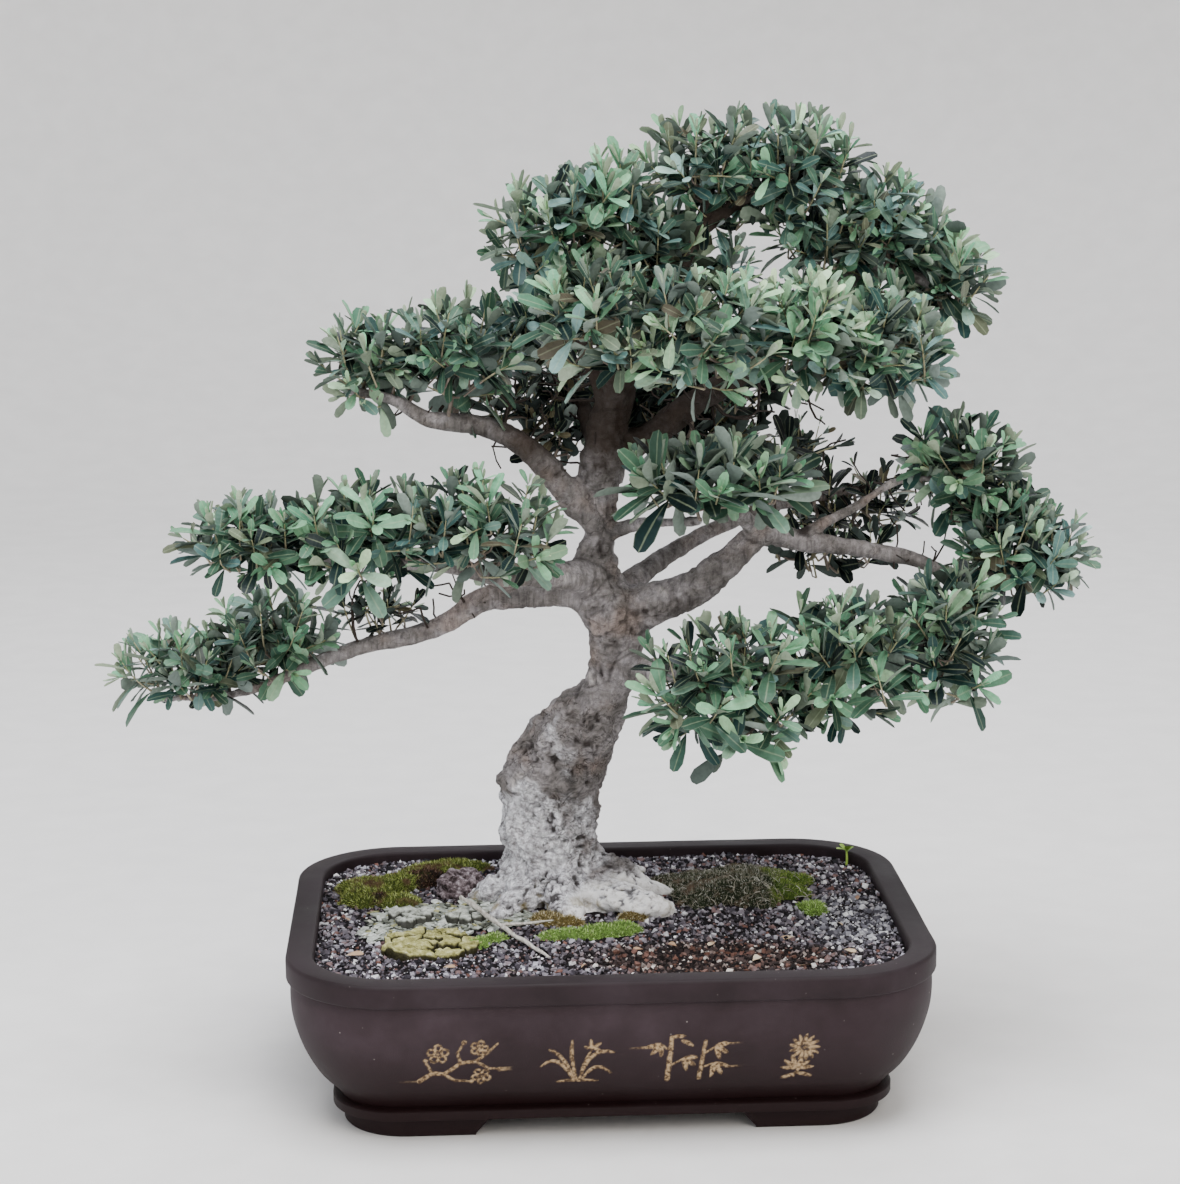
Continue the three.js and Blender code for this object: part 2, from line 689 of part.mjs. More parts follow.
// A flat slab with an uneven outline: [x, y] middle, half sizes, thickness.
function slab([x, y], [rx, ry], thickness, corners, turn) {
  return (grow) => {
    const ring = (z, s) => Array.from({ length: corners }, (_, i) => {
      const a = (i / corners) * Math.PI * 2 + turn;
      const k = s * (0.86 + 0.28 * hash(i, corners, x));
      return [x + (rx * k + grow) * Math.cos(a), y + (ry * k + grow) * Math.sin(a), z];
    });
    const low = soilHeight(x, y) - 4;
    const high = soilHeight(x, y) + thickness + grow;
    return solid(loft([ring(low, 1), ring(high - 1.6, 1), ring(high, 0.86)], [x, y, low], [x, y, high]));
  };
}

function twigOnSoil(grow) {
  const lift = (x, y, up, r) => [x, y, soilHeight(x, y) + up, r];
  const stem = limb([
    lift(-97, 22, 11, 2.2), lift(-82, -4, 8.8, 2.4), lift(-68, -31, 5.4, 2.3),
    lift(-54, -58, 3.6, 2.0), lift(-39, -84, 2.2, 1.5),
  ], 6, grow);
  const fork = limb([
    lift(-68, -31, 5.4, 1.8), lift(-50, -34, 6.4, 1.5), lift(-34, -30, 7, 1),
  ], 5, grow);
  return stem.add(fork);
}

function sprout(grow) {
  const [x, y] = [162, 102];
  const root = vec(ground(x, y, 0.2));
  const parts = [limb([[x, y, root.z - 2, 1.1], [x, y, root.z + 7, 0.9]], 5, grow)];
  for (let i = 0; i < 5; i++) {
    const a = i * 2.4;
    const tilt = i < 3 ? 0.5 : 0.95;
    const direction = new THREE.Vector3(Math.cos(a) * tilt, Math.sin(a) * tilt, 1 - tilt * 0.6);
    const across = new THREE.Vector3(-Math.sin(a), Math.cos(a), 0);
    const foot = root.clone().setZ(root.z + 1.5 + i * 0.7);
    parts.push(blade(foot, direction.normalize(), across, 9 + (i % 3), 4.6, grow));
  }
  return join(parts);
}

// ---------------------------------------------------------------- the model
const tree = new THREE.Group();

function add(name, shape, colour, roughness = 0.9) {
  const geometry = shape.isBufferGeometry ? shape : geometryOf(shape);
  const material = new THREE.MeshStandardMaterial({ color: colour, roughness, metalness: 0 });
  const mesh = new THREE.Mesh(geometry, material);
  mesh.name = name;
  tree.add(mesh);
}

add("pot", makePot(), COLOUR.clay, 0.55);
add("drain_screen_left", makeScreen(-1), COLOUR.screen, 0.6);
add("drain_screen_right", makeScreen(1), COLOUR.screen, 0.6);
add("soil", makeSoil(), COLOUR.soil, 1);
add("tree_wood", makeWood(), COLOUR.bark, 0.9);

Object.entries(BUNCHES).forEach(([name, lumps], i) => {
  add(name, makeBunch(lumps, 40 + i), i % 3 === 1 ? COLOUR.leafPale : COLOUR.leaf, 0.6);
});

add("tuff_lump", settle(cushion(ground(-91, 52, 4), [19, 20, 12], 0.25)), COLOUR.tuff);
add("moss_left_back", settle(cushion(ground(-150, 56, 1), [19, 24, 9])), COLOUR.moss);
add("moss_left_rear", settle(cushion(ground(-100, 100, 1), [22, 20, 7])), COLOUR.moss);
add("moss_right_mound", settle(cushion(ground(88, 42, 1), [50, 38, 14], 0.2, 2)), COLOUR.mossDark);
add("moss_right_small", settle(cushion(ground(135, 4, 0), [9, 12, 6])), COLOUR.mossBright);
add("moss_front_strip", settle(cushion(ground(-12, -38, 0), [33, 15, 5.5])), COLOUR.mossBright);
add("dead_twig", settle(twigOnSoil), COLOUR.twig, 0.8);
add("moss_front_dot", settle(cushion(ground(-81, -50, 0), [7, 9, 5])), COLOUR.mossBright);
add("lichen_crust", settle(slab([-113, -52], [29, 27], 5, 11, 0.3)), COLOUR.crust);
add("lichen_chip_rear", settle(slab([-88, -4], [12, 9], 6, 7, 0.8)), COLOUR.chip);
add("lichen_chip_side", settle(slab([-125, 2], [12, 16], 5, 7, 0.2)), COLOUR.chip);
add("weed_sprout", mainBody(sprout(0).subtract(RAISED_SOIL)), COLOUR.sprout, 0.6);

export default tree;
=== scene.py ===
# %% [markdown]
# # An old olive bonsai in a stoneware pot
# The tree and its pot were made as solids first. This lesson gives them their looks in Blender:
# clay, bark, leaves, moss and grit. Each step says what the thing is on the real object, how it
# could be made, and why it is made as it is here. Lengths are in millimetres in the lists below
# and are turned into metres once, where a mesh is made.

import functools
import itertools
import json
from math import cos, degrees, pi, radians, sin, sqrt

import bmesh
import bpy
import numpy as np
from mathutils import Matrix, Vector
from numpy.linalg import norm

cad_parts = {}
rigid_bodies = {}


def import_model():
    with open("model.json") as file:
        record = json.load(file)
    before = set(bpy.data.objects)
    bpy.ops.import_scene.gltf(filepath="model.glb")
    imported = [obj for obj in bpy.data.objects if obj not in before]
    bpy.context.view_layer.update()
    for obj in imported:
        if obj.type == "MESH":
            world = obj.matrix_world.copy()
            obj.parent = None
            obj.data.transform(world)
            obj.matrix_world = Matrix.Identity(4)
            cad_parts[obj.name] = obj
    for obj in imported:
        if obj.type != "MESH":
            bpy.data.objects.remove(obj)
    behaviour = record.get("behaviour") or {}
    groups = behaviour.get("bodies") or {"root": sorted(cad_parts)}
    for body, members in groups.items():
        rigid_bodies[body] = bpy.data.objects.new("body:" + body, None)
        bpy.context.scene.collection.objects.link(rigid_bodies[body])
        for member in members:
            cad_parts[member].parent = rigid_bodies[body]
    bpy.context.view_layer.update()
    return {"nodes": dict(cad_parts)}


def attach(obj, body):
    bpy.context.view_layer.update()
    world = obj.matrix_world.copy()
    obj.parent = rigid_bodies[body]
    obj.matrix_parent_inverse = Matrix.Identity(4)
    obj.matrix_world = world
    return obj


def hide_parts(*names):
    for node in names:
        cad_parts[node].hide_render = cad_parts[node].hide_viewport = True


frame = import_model()

# %% [markdown]
# ## Small tools
# Only a few helpers are needed all along: millimetres to metres, a hex colour to the linear
# colour that shaders work in, one function that adds a node, and one that starts a material.

# %% Millimetres and colours
MM = 0.001


def linear(hex_colour):
    """An sRGB hex colour as linear red, green, blue and alpha."""
    parts = [int(hex_colour[i:i + 2], 16) / 255 for i in (1, 3, 5)]
    return tuple(c / 12.92 if c <= 0.04045 else ((c + 0.055) / 1.055) ** 2.4 for c in parts) + (1.0,)


def per_metre(size_mm):
    """The texture scale whose cells are that many millimetres wide in object coordinates."""
    return 1 / (size_mm * MM)


# %% One function adds any node
COLOURS = {"data_type": "RGBA"}  # makes a Mix node mix colours


def main_output(node):
    """A node's factor, or else the first output that its settings leave in use."""
    return node.outputs.get("Fac") or next(socket for socket in node.outputs if socket.enabled)


def add(tree, kind, inputs=(), stops=(), **settings):
    """Adds a node with its settings; its kind goes without Blender's prefix. Inputs go by name, or as
    a list in their order; each is a value, a hex colour, a socket, or a node, whose main output is
    linked. Stops are a colour ramp's."""
    prefixes = ("ShaderNode", "GeometryNode", "FunctionNode", "")
    made = tree.nodes.new(next(p + kind for p in prefixes if hasattr(bpy.types, p + kind)))
    for name, value in settings.items():
        setattr(made, name, value)
    if isinstance(inputs, dict):
        given = [(made.inputs[key], value) for key, value in inputs.items()]
    else:
        given = zip([socket for socket in made.inputs if socket.enabled], inputs)
    for socket, value in given:
        if isinstance(value, bpy.types.Node):
            value = main_output(value)
        if isinstance(value, bpy.types.NodeSocket):
            tree.links.new(value, socket)
        else:
            socket.default_value = linear(value) if str(value)[0] == "#" else value
    for _ in stops[2:]:
        made.color_ramp.elements.new(0.5)
    for element, (position, colour) in zip(made.color_ramp.elements if stops else (), stops):
        element.position = position
        element.color = linear(colour) if isinstance(colour, str) else (colour,) * 3 + (1,)
    return made


def dress(shader, **nodes):
    """Links each node to the shader's socket of that name, such as Base_Color."""
    for name, node in nodes.items():
        shader.id_data.links.new(main_output(node), shader.inputs[name.replace("_", " ")])


def new_material(name, roughness, specular=0.5):
    """A material, `add` for its tree, its shader and the object coordinates that patterns read."""
    material = bpy.data.materials.new(name)
    material.use_nodes = True
    tree = material.node_tree
    shader = tree.nodes["Principled BSDF"]
    shader.inputs["Roughness"].default_value = roughness
    shader.inputs["Specular IOR Level"].default_value = specular
    return material, functools.partial(add, tree), shader, add(tree, "TexCoord").outputs["Object"]


def speckled(node, place, tone, size, detail, least, most):
    """A colour made darker and lighter by fine noise, and the noise, from which its relief can come."""
    noise = node("TexNoise", [place, per_metre(size), detail])
    light = node("MapRange", [noise, 0.3, 0.7, least, most])
    return node("VectorMath", {0: tone, "Scale": light}, operation="SCALE"), noise


# %% [markdown]
# ## Noise on points
# Bark, soil and rock are pushed about by noise before they are rendered, so that their outline
# is rough too and not just their shading. Two kinds are enough: smooth value noise, and the
# distance to the nearest of many scattered points, whose cells look like knobs or cracked
# plates. Working on whole arrays at once keeps both quick.

# %% Smooth noise and cells
def cell_value(i, j, k):
    s = np.sin(i * 127.1 + j * 311.7 + k * 74.7) * 43758.5453
    return s - np.floor(s)


def value_noise(points, size):
    """Smooth noise from -1 to 1 at each point, with cells of that size in millimetres."""
    p = np.asarray(points, float) / size
    i = np.floor(p)
    f = p - i
    f = f * f * (3 - 2 * f)
    total = 0
    for corner in itertools.product((0, 1), repeat=3):
        weight = np.prod(np.where(np.array(corner, bool), f, 1 - f), axis=-1)
        total = total + weight * cell_value(*np.moveaxis(i + corner, -1, 0))
    return total * 2 - 1


def layered_noise(points, size, layers=3):
    """Value noise with finer and weaker layers added, from about -1 to 1."""
    return sum(value_noise(points + 31.7 * n, size / 2.1 ** n) / 1.9 ** n for n in range(layers)) / 1.6


def cells(points, size):
    """Distance to the nearest and second nearest of points scattered one to a cell, in cells."""
    p = np.asarray(points, float) / size
    base = np.floor(p)
    first = np.full(p.shape[:-1], 9.0)
    second = first.copy()
    for step in itertools.product((-1, 0, 1), repeat=3):
        c = base + step
        i, j, k = np.moveaxis(c, -1, 0)
        spot = c + np.stack([cell_value(i, j, k), cell_value(j, k, i + 7), cell_value(k, i + 3, j)], -1)
        d = norm(spot - p, axis=-1)
        second = np.minimum(np.maximum(first, d), second)
        first = np.minimum(first, d)
    return first, second


def around(count):
    """Angles evenly round a circle."""
    return np.linspace(0, 2 * pi, count + 1)[:-1]


def smoothstep(low, high, x):
    t = np.clip((x - low) / (high - low), 0, 1)
    return t * t * (3 - 2 * t)


# %% [markdown]
# ## Meshes from rings
# A pot, a trunk, a twig and a slab of crust are all skins through rings of points. The loft
# joins rings of equal length with quads and closes each end with a fan to one point, so every
# piece is a closed body with its faces outwards.

# %% Lofts and mesh objects
def loft(rings, start, end):
    """Points and faces of the closed skin through rings, each end closed by a point."""
    rings = np.asarray(rings, float)
    rows, columns = rings.shape[:2]
    here = np.arange(rows * columns).reshape(rows, columns)
    beside = np.roll(here, -1, axis=1)
    quads = np.stack([here[:-1], beside[:-1], beside[1:], here[1:]], -1).reshape(-1, 4).tolist()
    points = np.vstack([rings.reshape(-1, 3), [start, end]])
    first, last = rows * columns, rows * columns + 1
    fans = [[first, b, a] for a, b in zip(here[0].tolist(), beside[0].tolist())]
    fans += [[last, a, b] for a, b in zip(here[-1].tolist(), beside[-1].tolist())]
    return points, quads + fans


def join_skins(skins):
    """Several (points, faces) as one."""
    points, faces, shift = [], [], 0
    for p, f in skins:
        points.append(p)
        faces += [[i + shift for i in face] for face in f]
        shift += len(p)
    return np.vstack(points), faces


def show(piece):
    bpy.context.scene.collection.objects.link(piece)


def mesh_object(name, points, faces=(), edges=(), smooth=True, shown=True):
    """A mesh object from points in millimetres, with its place in its mesh."""
    mesh = bpy.data.meshes.new(name)
    mesh.from_pydata((np.asarray(points) * MM).tolist(), list(edges), list(faces))
    mesh.polygons.foreach_set("use_smooth", [smooth] * len(mesh.polygons))
    mesh.update()
    made = bpy.data.objects.new(name, mesh)
    if shown:
        show(made)
    return made


def points_of(piece):
    """A piece's points and normals, the points in millimetres."""
    mesh = piece.data
    co, no = np.empty((2, len(mesh.vertices) * 3), np.float32)
    mesh.vertices.foreach_get("co", co)
    mesh.vertex_normals.foreach_get("vector", no)
    return co.reshape(-1, 3).astype(float) / MM, no.reshape(-1, 3).astype(float)


def set_points(piece, points):
    piece.data.vertices.foreach_set("co", (points * MM).astype(np.float32).ravel())
    piece.data.update()


def set_attribute(piece, name, values, kind="FLOAT", domain="POINT"):
    attribute = piece.data.attributes.new(name, kind, domain)
    key = "vector" if kind == "FLOAT_VECTOR" else "value"
    attribute.data.foreach_set(key, np.asarray(values).ravel())


# %% Modifiers and nodes become plain meshes
def keep_result(piece):
    """Replaces a piece's mesh with what its modifiers make of it, and removes them."""
    graph = bpy.context.evaluated_depsgraph_get()
    mesh = bpy.data.meshes.new_from_object(piece.evaluated_get(graph), depsgraph=graph)
    piece.modifiers.clear()
    piece.data = mesh
    return piece


def run_nodes(piece, tree, **values):
    """Runs a Geometry Nodes tree on a piece, its named inputs set by their identifiers."""
    modifier = piece.modifiers.new("nodes", "NODES")
    modifier.node_group = tree
    for socket in tree.interface.items_tree:
        if socket.item_type == "SOCKET" and socket.in_out == "INPUT" and socket.name in values:
            modifier[socket.identifier] = values[socket.name]
    return keep_result(piece)


def collect(name, objects):
    """A collection of shapes that nodes pick from."""
    made = bpy.data.collections.new(name)
    for piece in objects:
        made.objects.link(piece)
    return made


def remove_all(collection):
    for piece in list(collection.objects):
        bpy.data.objects.remove(piece)


def finish_piece(piece, nodes=(), material=None):
    """Gives a piece its material, its place on the one body, and what it stands for."""
    if material:
        piece.data.materials.clear()
        piece.data.materials.append(material)
    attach(piece, "root")
    if nodes:
        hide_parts(*nodes)
    piece.data.calc_loop_triangles()
    print(f"{piece.name}: {len(piece.data.loop_triangles)} triangles")


# %% [markdown]
# ## Camera
# The tree stands a little above a table and is seen from slightly left and above, from about
# 1.8 m away through a long lens, which keeps the pot's sides almost parallel.

# %% Camera
CAMERA_AT = Vector((-96.0, -1730.5, 649.4)) * MM
LOOKS_AT = Vector((-7.7, 0, 312.9)) * MM
ROLL = radians(-0.44)
FOCAL_LENGTH, PICTURE_SIDE = 2807.4, 1184  # both in pixels
SENSOR = 36  # mm

forward = (LOOKS_AT - CAMERA_AT).normalized()
level = forward.cross(Vector((0, 0, 1))).normalized()
above = level.cross(forward)
right = level * cos(ROLL) + above * sin(ROLL)
up = above * cos(ROLL) - level * sin(ROLL)
camera_data = bpy.data.cameras.new("camera")
camera_data.sensor_width = SENSOR
camera_data.lens = FOCAL_LENGTH / PICTURE_SIDE * SENSOR
camera_data.clip_end = 60
camera = bpy.data.objects.new("camera", camera_data)
camera.matrix_world = Matrix.Translation(CAMERA_AT) @ Matrix((right, up, -forward)).transposed().to_4x4()
show(camera)
bpy.context.scene.camera = camera
print(f"lens {camera_data.lens:.1f} mm")

# %% [markdown]
# ## Floor and light
# The floor runs out and sweeps up all round the tree, like the paper of a photo studio, so no
# horizon cuts through the crown from any side. Soft daylight suits an outdoor tree: most of it
# falls from a large lamp straight above, so that the leaves' upper faces are light and the
# inside of each pad falls dark. A lamp in front and one from the left fill in the near side,
# one behind lights the edge of the crown, and the sky is weak, so that hollows stay dark. Most
# finishes from here on are one noise run through a few colours, which `mottled` makes.

# %% Floor, lamps and sky
def mottled(name, roughness, size, detail, grain, stops, depth=0, strength=0, specular=0.5):
    """A finish whose colours follow one noise, of a size in millimetres, which gives its relief too."""
    material, node, shader, place = new_material(name, roughness, specular)
    pattern = node("TexNoise", [place, per_metre(size), detail, grain])
    dress(shader, Base_Color=node("ValToRGB", [pattern], stops=stops))
    if depth:
        dress(shader, Normal=node("Bump", {"Height": pattern, "Distance": depth, "Strength": strength}))
    return material


floor_material = mottled("matt_pale_floor", 0.85, 40, 3, 0.5, [(0.3, "#E6E4E1"), (0.7, "#ECEAE7")])
SWEEP_FROM, SWEEP_RADIUS, WALL_TOP, AROUND = 2200, 1400, 1700, 128
bend = np.radians(np.linspace(-90, 0, 25))
sweep = [(SWEEP_FROM + SWEEP_RADIUS * cos(b), SWEEP_RADIUS + SWEEP_RADIUS * sin(b)) for b in bend]
sweep.append((SWEEP_FROM + SWEEP_RADIUS, WALL_TOP))
bowl = [(0, 0, 0)] + [(r * cos(a), r * sin(a), z) for r, z in sweep for a in around(AROUND)]
bowl_faces = [(0, 1 + n, 1 + (n + 1) % AROUND) for n in range(AROUND)]
for row in range(len(sweep) - 1):
    low, high = 1 + row * AROUND, 1 + (row + 1) * AROUND
    bowl_faces += [(low + n, high + n, high + (n + 1) % AROUND, low + (n + 1) % AROUND)
                   for n in range(AROUND)]
floor = mesh_object("floor", bowl, bowl_faces)
floor.data.materials.append(floor_material)


def soft_lamp(name, at, size, watts, colour):
    data = bpy.data.lights.new(name, "AREA")
    data.size, data.energy, data.color = size, watts, linear(colour)[:3]
    lamp = bpy.data.objects.new(name, data)
    lamp.location = at
    lamp.rotation_euler = (Vector((0, 0, 0.3)) - lamp.location).to_track_quat("-Z", "Y").to_euler()
    show(lamp)


soft_lamp("top_lamp", Vector((-0.2, -0.5, 2.9)), 2.0, 140, "#F8FAFF")
soft_lamp("front_lamp", Vector((0.9, -2.2, 1.9)), 1.6, 47, "#FFF9F2")
soft_lamp("left_lamp", Vector((-2.2, -1.2, 1.5)), 1.8, 22, "#F2F6FF")
soft_lamp("back_lamp", Vector((0.6, 2.0, 2.3)), 1.8, 34, "#F6F8FF")
sky = bpy.data.worlds.new("pale_sky")
sky.use_nodes = True
sky.node_tree.nodes["Background"].inputs["Color"].default_value = linear("#E9EDF2")
sky.node_tree.nodes["Background"].inputs["Strength"].default_value = 0.24
bpy.context.scene.world = sky

# %% [markdown]
# ## The pot
# The pot is pressed from dark stoneware in a mould: a rounded rectangle with a swelling belly,
# a plain band round the rim, a stepped ledge and four bracket feet. A lathe can't make it,
# because it isn't round, so its skin is lofted through rounded rectangles. Each ring is given
# by how far it is moved in from the rim's edge and by its height. Rings and columns lie close
# together only where the ornament is cut into the front.

# %% The pot's outline
POT_LENGTH, POT_DEPTH = 400, 300
POT_CORNER, CORNER_STEPS = 68, 14
LEDGE_BOTTOM, FLOOR_TOP = 12.5, 24
FEET_LENGTH, FEET_DEPTH, FEET_CORNER, FOOT_THICKNESS = 333, 232, 40, 15
FRONT_STRAIGHT = POT_LENGTH / 2 - POT_CORNER
ORNAMENT_AT = [(-95.0, 56.5), (-24.5, 55.5), (41.5, 55.5), (110.5, 55.5)]  # x and z of each sprig
ORNAMENT_HALF = (25, 23, 25, 21)
ORNAMENT_STEP = 0.75


def front_columns():
    columns = list(np.linspace(-FRONT_STRAIGHT, FRONT_STRAIGHT, 24))
    for (x, _), half in zip(ORNAMENT_AT, ORNAMENT_HALF):
        low, high = max(x - half, -FRONT_STRAIGHT), min(x + half, FRONT_STRAIGHT)
        columns += list(np.arange(low, high, ORNAMENT_STEP))
    columns = np.unique(np.round(columns, 2))
    return columns[np.insert(np.diff(columns) > 0.3, 0, True)] / FRONT_STRAIGHT


def rounded_ring(half_length, half_depth, radius, z, front, side_steps=8):
    """A rounded rectangle at height z, from the right side round the back, anticlockwise."""
    straight_x, straight_y = half_length - radius, half_depth - radius
    turn = np.linspace(0, pi / 2, CORNER_STEPS + 1)[1:-1]
    side = np.linspace(-1, 1, side_steps + 1)
    back = np.linspace(1, -1, 2 * side_steps + 1)
    edges = [(half_length, side * straight_y, 1, 1), (back * straight_x, half_depth, -1, 1),
             (-half_length, -side * straight_y, -1, -1), (front * straight_x, -half_depth, 1, -1)]
    parts = []
    for n, (x, y, sx, sy) in enumerate(edges):
        a = turn + n * pi / 2
        corner = sx * straight_x + radius * np.cos(a), sy * straight_y + radius * np.sin(a)
        parts += [np.stack(np.broadcast_arrays(x, y), 1), np.stack(corner, 1)]
    ring = np.vstack(parts)
    return np.column_stack([ring, np.full(len(ring), z)])


def pot_ring(inset, z, front, side_steps=8):
    half_length, half_depth = POT_LENGTH / 2 - inset, POT_DEPTH / 2 - inset
    return rounded_ring(half_length, half_depth, max(POT_CORNER - inset, 26), z, front, side_steps)


def run_along(points):
    """How far along its line each point lies."""
    return np.append(0, np.cumsum(norm(np.diff(points, axis=0), axis=1)))


def smooth_curve(points, steps):
    """A curve through points (Catmull-Rom), with that many steps between two of them."""
    p = np.asarray(points, float)
    p = np.vstack([2 * p[0] - p[1], p, 2 * p[-1] - p[-2]])
    t = np.arange(steps)[:, None] / steps
    made = [0.5 * (2 * b + (c - a) * t + (2 * a - 5 * b + 4 * c - d) * t ** 2
                   + (3 * b - a - 3 * c + d) * t ** 3) for a, b, c, d in zip(p, p[1:], p[2:], p[3:])]
    return np.vstack(made + [p[-2:-1]])


def arc(middle, radius, start, end, steps=4):
    a = np.radians(np.linspace(start, end, steps))
    return np.column_stack([middle[0] + radius * np.cos(a), middle[1] + radius * np.sin(a)])


ledge = [(28, 12.5), (27.3, 12.8), (27, 13.5), (27, 18.2), (27.6, 18.9), (29, 19.4), (32, 20.0)]
belly = smooth_curve([(31.6, 20.8), (27.4, 26), (19.4, 34), (12.4, 45), (6.8, 58), (3.4, 71), (2.4, 84),
                      (3.2, 91.4)], 24)
fine = np.concatenate([np.linspace(21, 38, 9), np.arange(39, 73, ORNAMENT_STEP), np.linspace(75, 91.4, 8)])
belly = np.column_stack([np.interp(fine, belly[:, 1], belly[:, 0]), fine])
rim_outside = np.vstack([[(3.4, 92.4), (1.4, 92.9)],
                         arc((1.6, 94.6), 1.6, 262, 180), arc((2.4, 104.6), 2.4, 180, 90)])
rim_inside = np.vstack([arc((14.8, 104.8), 2.2, 90, 0), [(17, 99), (16.6, 93)]])
inside = smooth_curve([(15.6, 89), (13.5, 82), (15.5, 62), (22, 45), (31, 33), (41, 26), (52, FLOOR_TOP)], 2)
pot_profile = np.vstack([ledge, belly, rim_outside, rim_inside, inside])
front = front_columns()
pot_rings = [pot_ring(inset, z, front) for inset, z in pot_profile]
pot_skin = loft(pot_rings, (0, 0, LEDGE_BOTTOM), (0, 0, FLOOR_TOP))
print(f"{len(pot_profile)} rings of {len(front)} front columns")

# %% [markdown]
# ## The gilt ornament
# Pots of this sort carry a few incised sprigs, rubbed with gold. These are the four plants that
# potters have cut for centuries: plum, orchid, bamboo and chrysanthemum. Each is a list of
# strokes, and a stroke is a run of points, each with its own half width, as a carving tool
# presses deeper and shallower. The distance to the nearest stroke says how deep the clay is cut
# and where the gold lies, so the grooves are real and not painted on.

# %% Strokes of the four plants
def bent(start, control, end, thin, thick, steps=7):
    """A stroke along a bow, thick in its middle and thin at its ends."""
    t = np.linspace(0, 1, steps)[:, None]
    p = (1 - t) ** 2 * np.array(start) + 2 * t * (1 - t) * np.array(control) + t ** 2 * np.array(end)
    return np.column_stack([p, thin + (thick - thin) * np.sin(t[:, 0] * pi) ** 0.7])


def blossom(x, z, size, petals=5, turn=90):
    """Petals as small loops round a dot."""
    made = [[(x, z, 0.75), (x + 0.1, z, 0.75)]]
    for n in range(petals):
        a = radians(turn + 360 * n / petals)
        cx, cz = x + size * cos(a), z + size * sin(a)
        loop = np.radians(np.linspace(0, 360, 9))
        r = size * sin(pi / petals) * 0.86
        made.append(np.column_stack([cx + r * np.cos(loop), cz + r * np.sin(loop), np.full(9, 0.62)]))
    return made


def blade(x, z, angle, length, thick=1.5):
    a = radians(angle)
    end = (x + length * cos(a), z + length * sin(a))
    side = (x + length * 0.45 * cos(a + 0.25), z + length * 0.45 * sin(a + 0.25))
    return bent((x, z), side, end, 0.35, thick)


plum = [[(-24, -13, 1.5), (-16, -7, 1.3), (-9, -8, 1.2), (1, 0, 1.1), (10, 1, 1.0), (17, 7, 0.8),
    (23, 13, 0.5)], [(-9, -8, 0.9), (-3, -13, 0.8), (7, -14, 0.5)], [(1, 0, 0.8), (-1, 7, 0.7),
    (3, 14, 0.5)], [(10, 1, 0.8), (17, -4, 0.7), (24, -5, 0.5)], [(-16, -7, 0.8), (-20, 1, 0.5)],
    *blossom(-12.5, 6.5, 4.2), *blossom(13, -10, 3.7, turn=50), *blossom(12, 10, 3.4, turn=70),
    [(3, 14, 1.3), (3.2, 14.2, 1.3)], [(24, -5, 1.3), (24.2, -5, 1.3)], [(-20, 2, 1.2), (-20, 2.4, 1.2)],
    [(7, -14, 1.2), (7.3, -14, 1.2)]]
orchid = [bent((-2, -15), (-11, 9), (-22, -3), 0.35, 1.1), bent((-1, -15), (-8, 6), (-17, 9), 0.35, 1.0),
    bent((0, -15), (-5, 4), (-3, 15), 0.35, 1.0), bent((1, -15), (6, 12), (22, 6), 0.35, 1.2),
    bent((2, -15), (10, 3), (20, -9), 0.35, 1.1), bent((1, -15), (3, 0), (9, 9), 0.5, 0.7),
    blade(9, 9, 100, 6, 1.1), blade(9, 9, 35, 6, 1.1), blade(9, 9, 160, 5, 0.9), blade(9, 9, -20, 5, 0.9),
    bent((-12, -15), (-2, -13), (12, -15), 0.4, 0.9)]
bamboo = [[(-12, -15, 1.5), (-11.4, -6.2, 1.4)], [(-11.2, -3.8, 1.4), (-10.6, 4.6, 1.35)],
    [(-10.4, 7, 1.3), (-9.8, 15, 1.2)], [(7, -15, 1.2), (7.8, -8, 1.2)], [(8, -5.8, 1.2), (9, 2, 1.1)],
    [(9.2, 4.2, 1.1), (10.4, 12, 0.9)], [(-11, -5, 0.6), (-3, 0, 0.5)], [(-10.4, 6, 0.6), (-17, 11, 0.5)],
    [(9, 3, 0.6), (16, 8, 0.5)], [(8, -6.8, 0.6), (15, -4, 0.5)],
    *[blade(-3, 0, a, 9) for a in (-75, -35, 5)], *[blade(-17, 11, a, 9) for a in (195, 235, 275)],
    *[blade(16, 8, a, 9) for a in (-70, -30, 15)], *[blade(15, -4, a, 10) for a in (-95, -55, -15)],
    blade(-9.8, 15, 5, 8, 1.2), blade(-4, 13, -30, 8, 1.2)]
chrysanthemum = [blade(1 + 2.4 * cos(a), 6 + 2.4 * sin(a), degrees(a), 6.6, 1.05)
                 for a in around(13)]
chrysanthemum += [[(1, 6, 1.0), (1.2, 6, 1.0)], bent((0, -3), (-1, -9), (-5, -15.5), 0.6, 0.85),
    *[blade(-2.5, -10, a, 9.5, 1.3) for a in (10, 42, 72)],
    *[blade(-2.5, -8.5, a, 10, 1.3) for a in (112, 145, 178)], blade(-3.5, -13, 200, 9, 1.2),
    blade(-3.5, -13, -15, 10, 1.2)]


FAR = 99.0


def distance_to_strokes(u, v, strokes):
    """Distance of each point to the edge of the nearest stroke; below zero inside one."""
    nearest = np.full(u.shape, FAR)
    for line in strokes:
        for (x0, z0, r0), (x1, z1, r1) in zip(line, line[1:]):
            dx, dz = x1 - x0, z1 - z0
            t = np.clip(((u - x0) * dx + (v - z0) * dz) / max(dx * dx + dz * dz, 1e-6), 0, 1)
            nearest = np.minimum(nearest, np.hypot(u - x0 - t * dx, v - z0 - t * dz) - r0 - t * (r1 - r0))
    return nearest


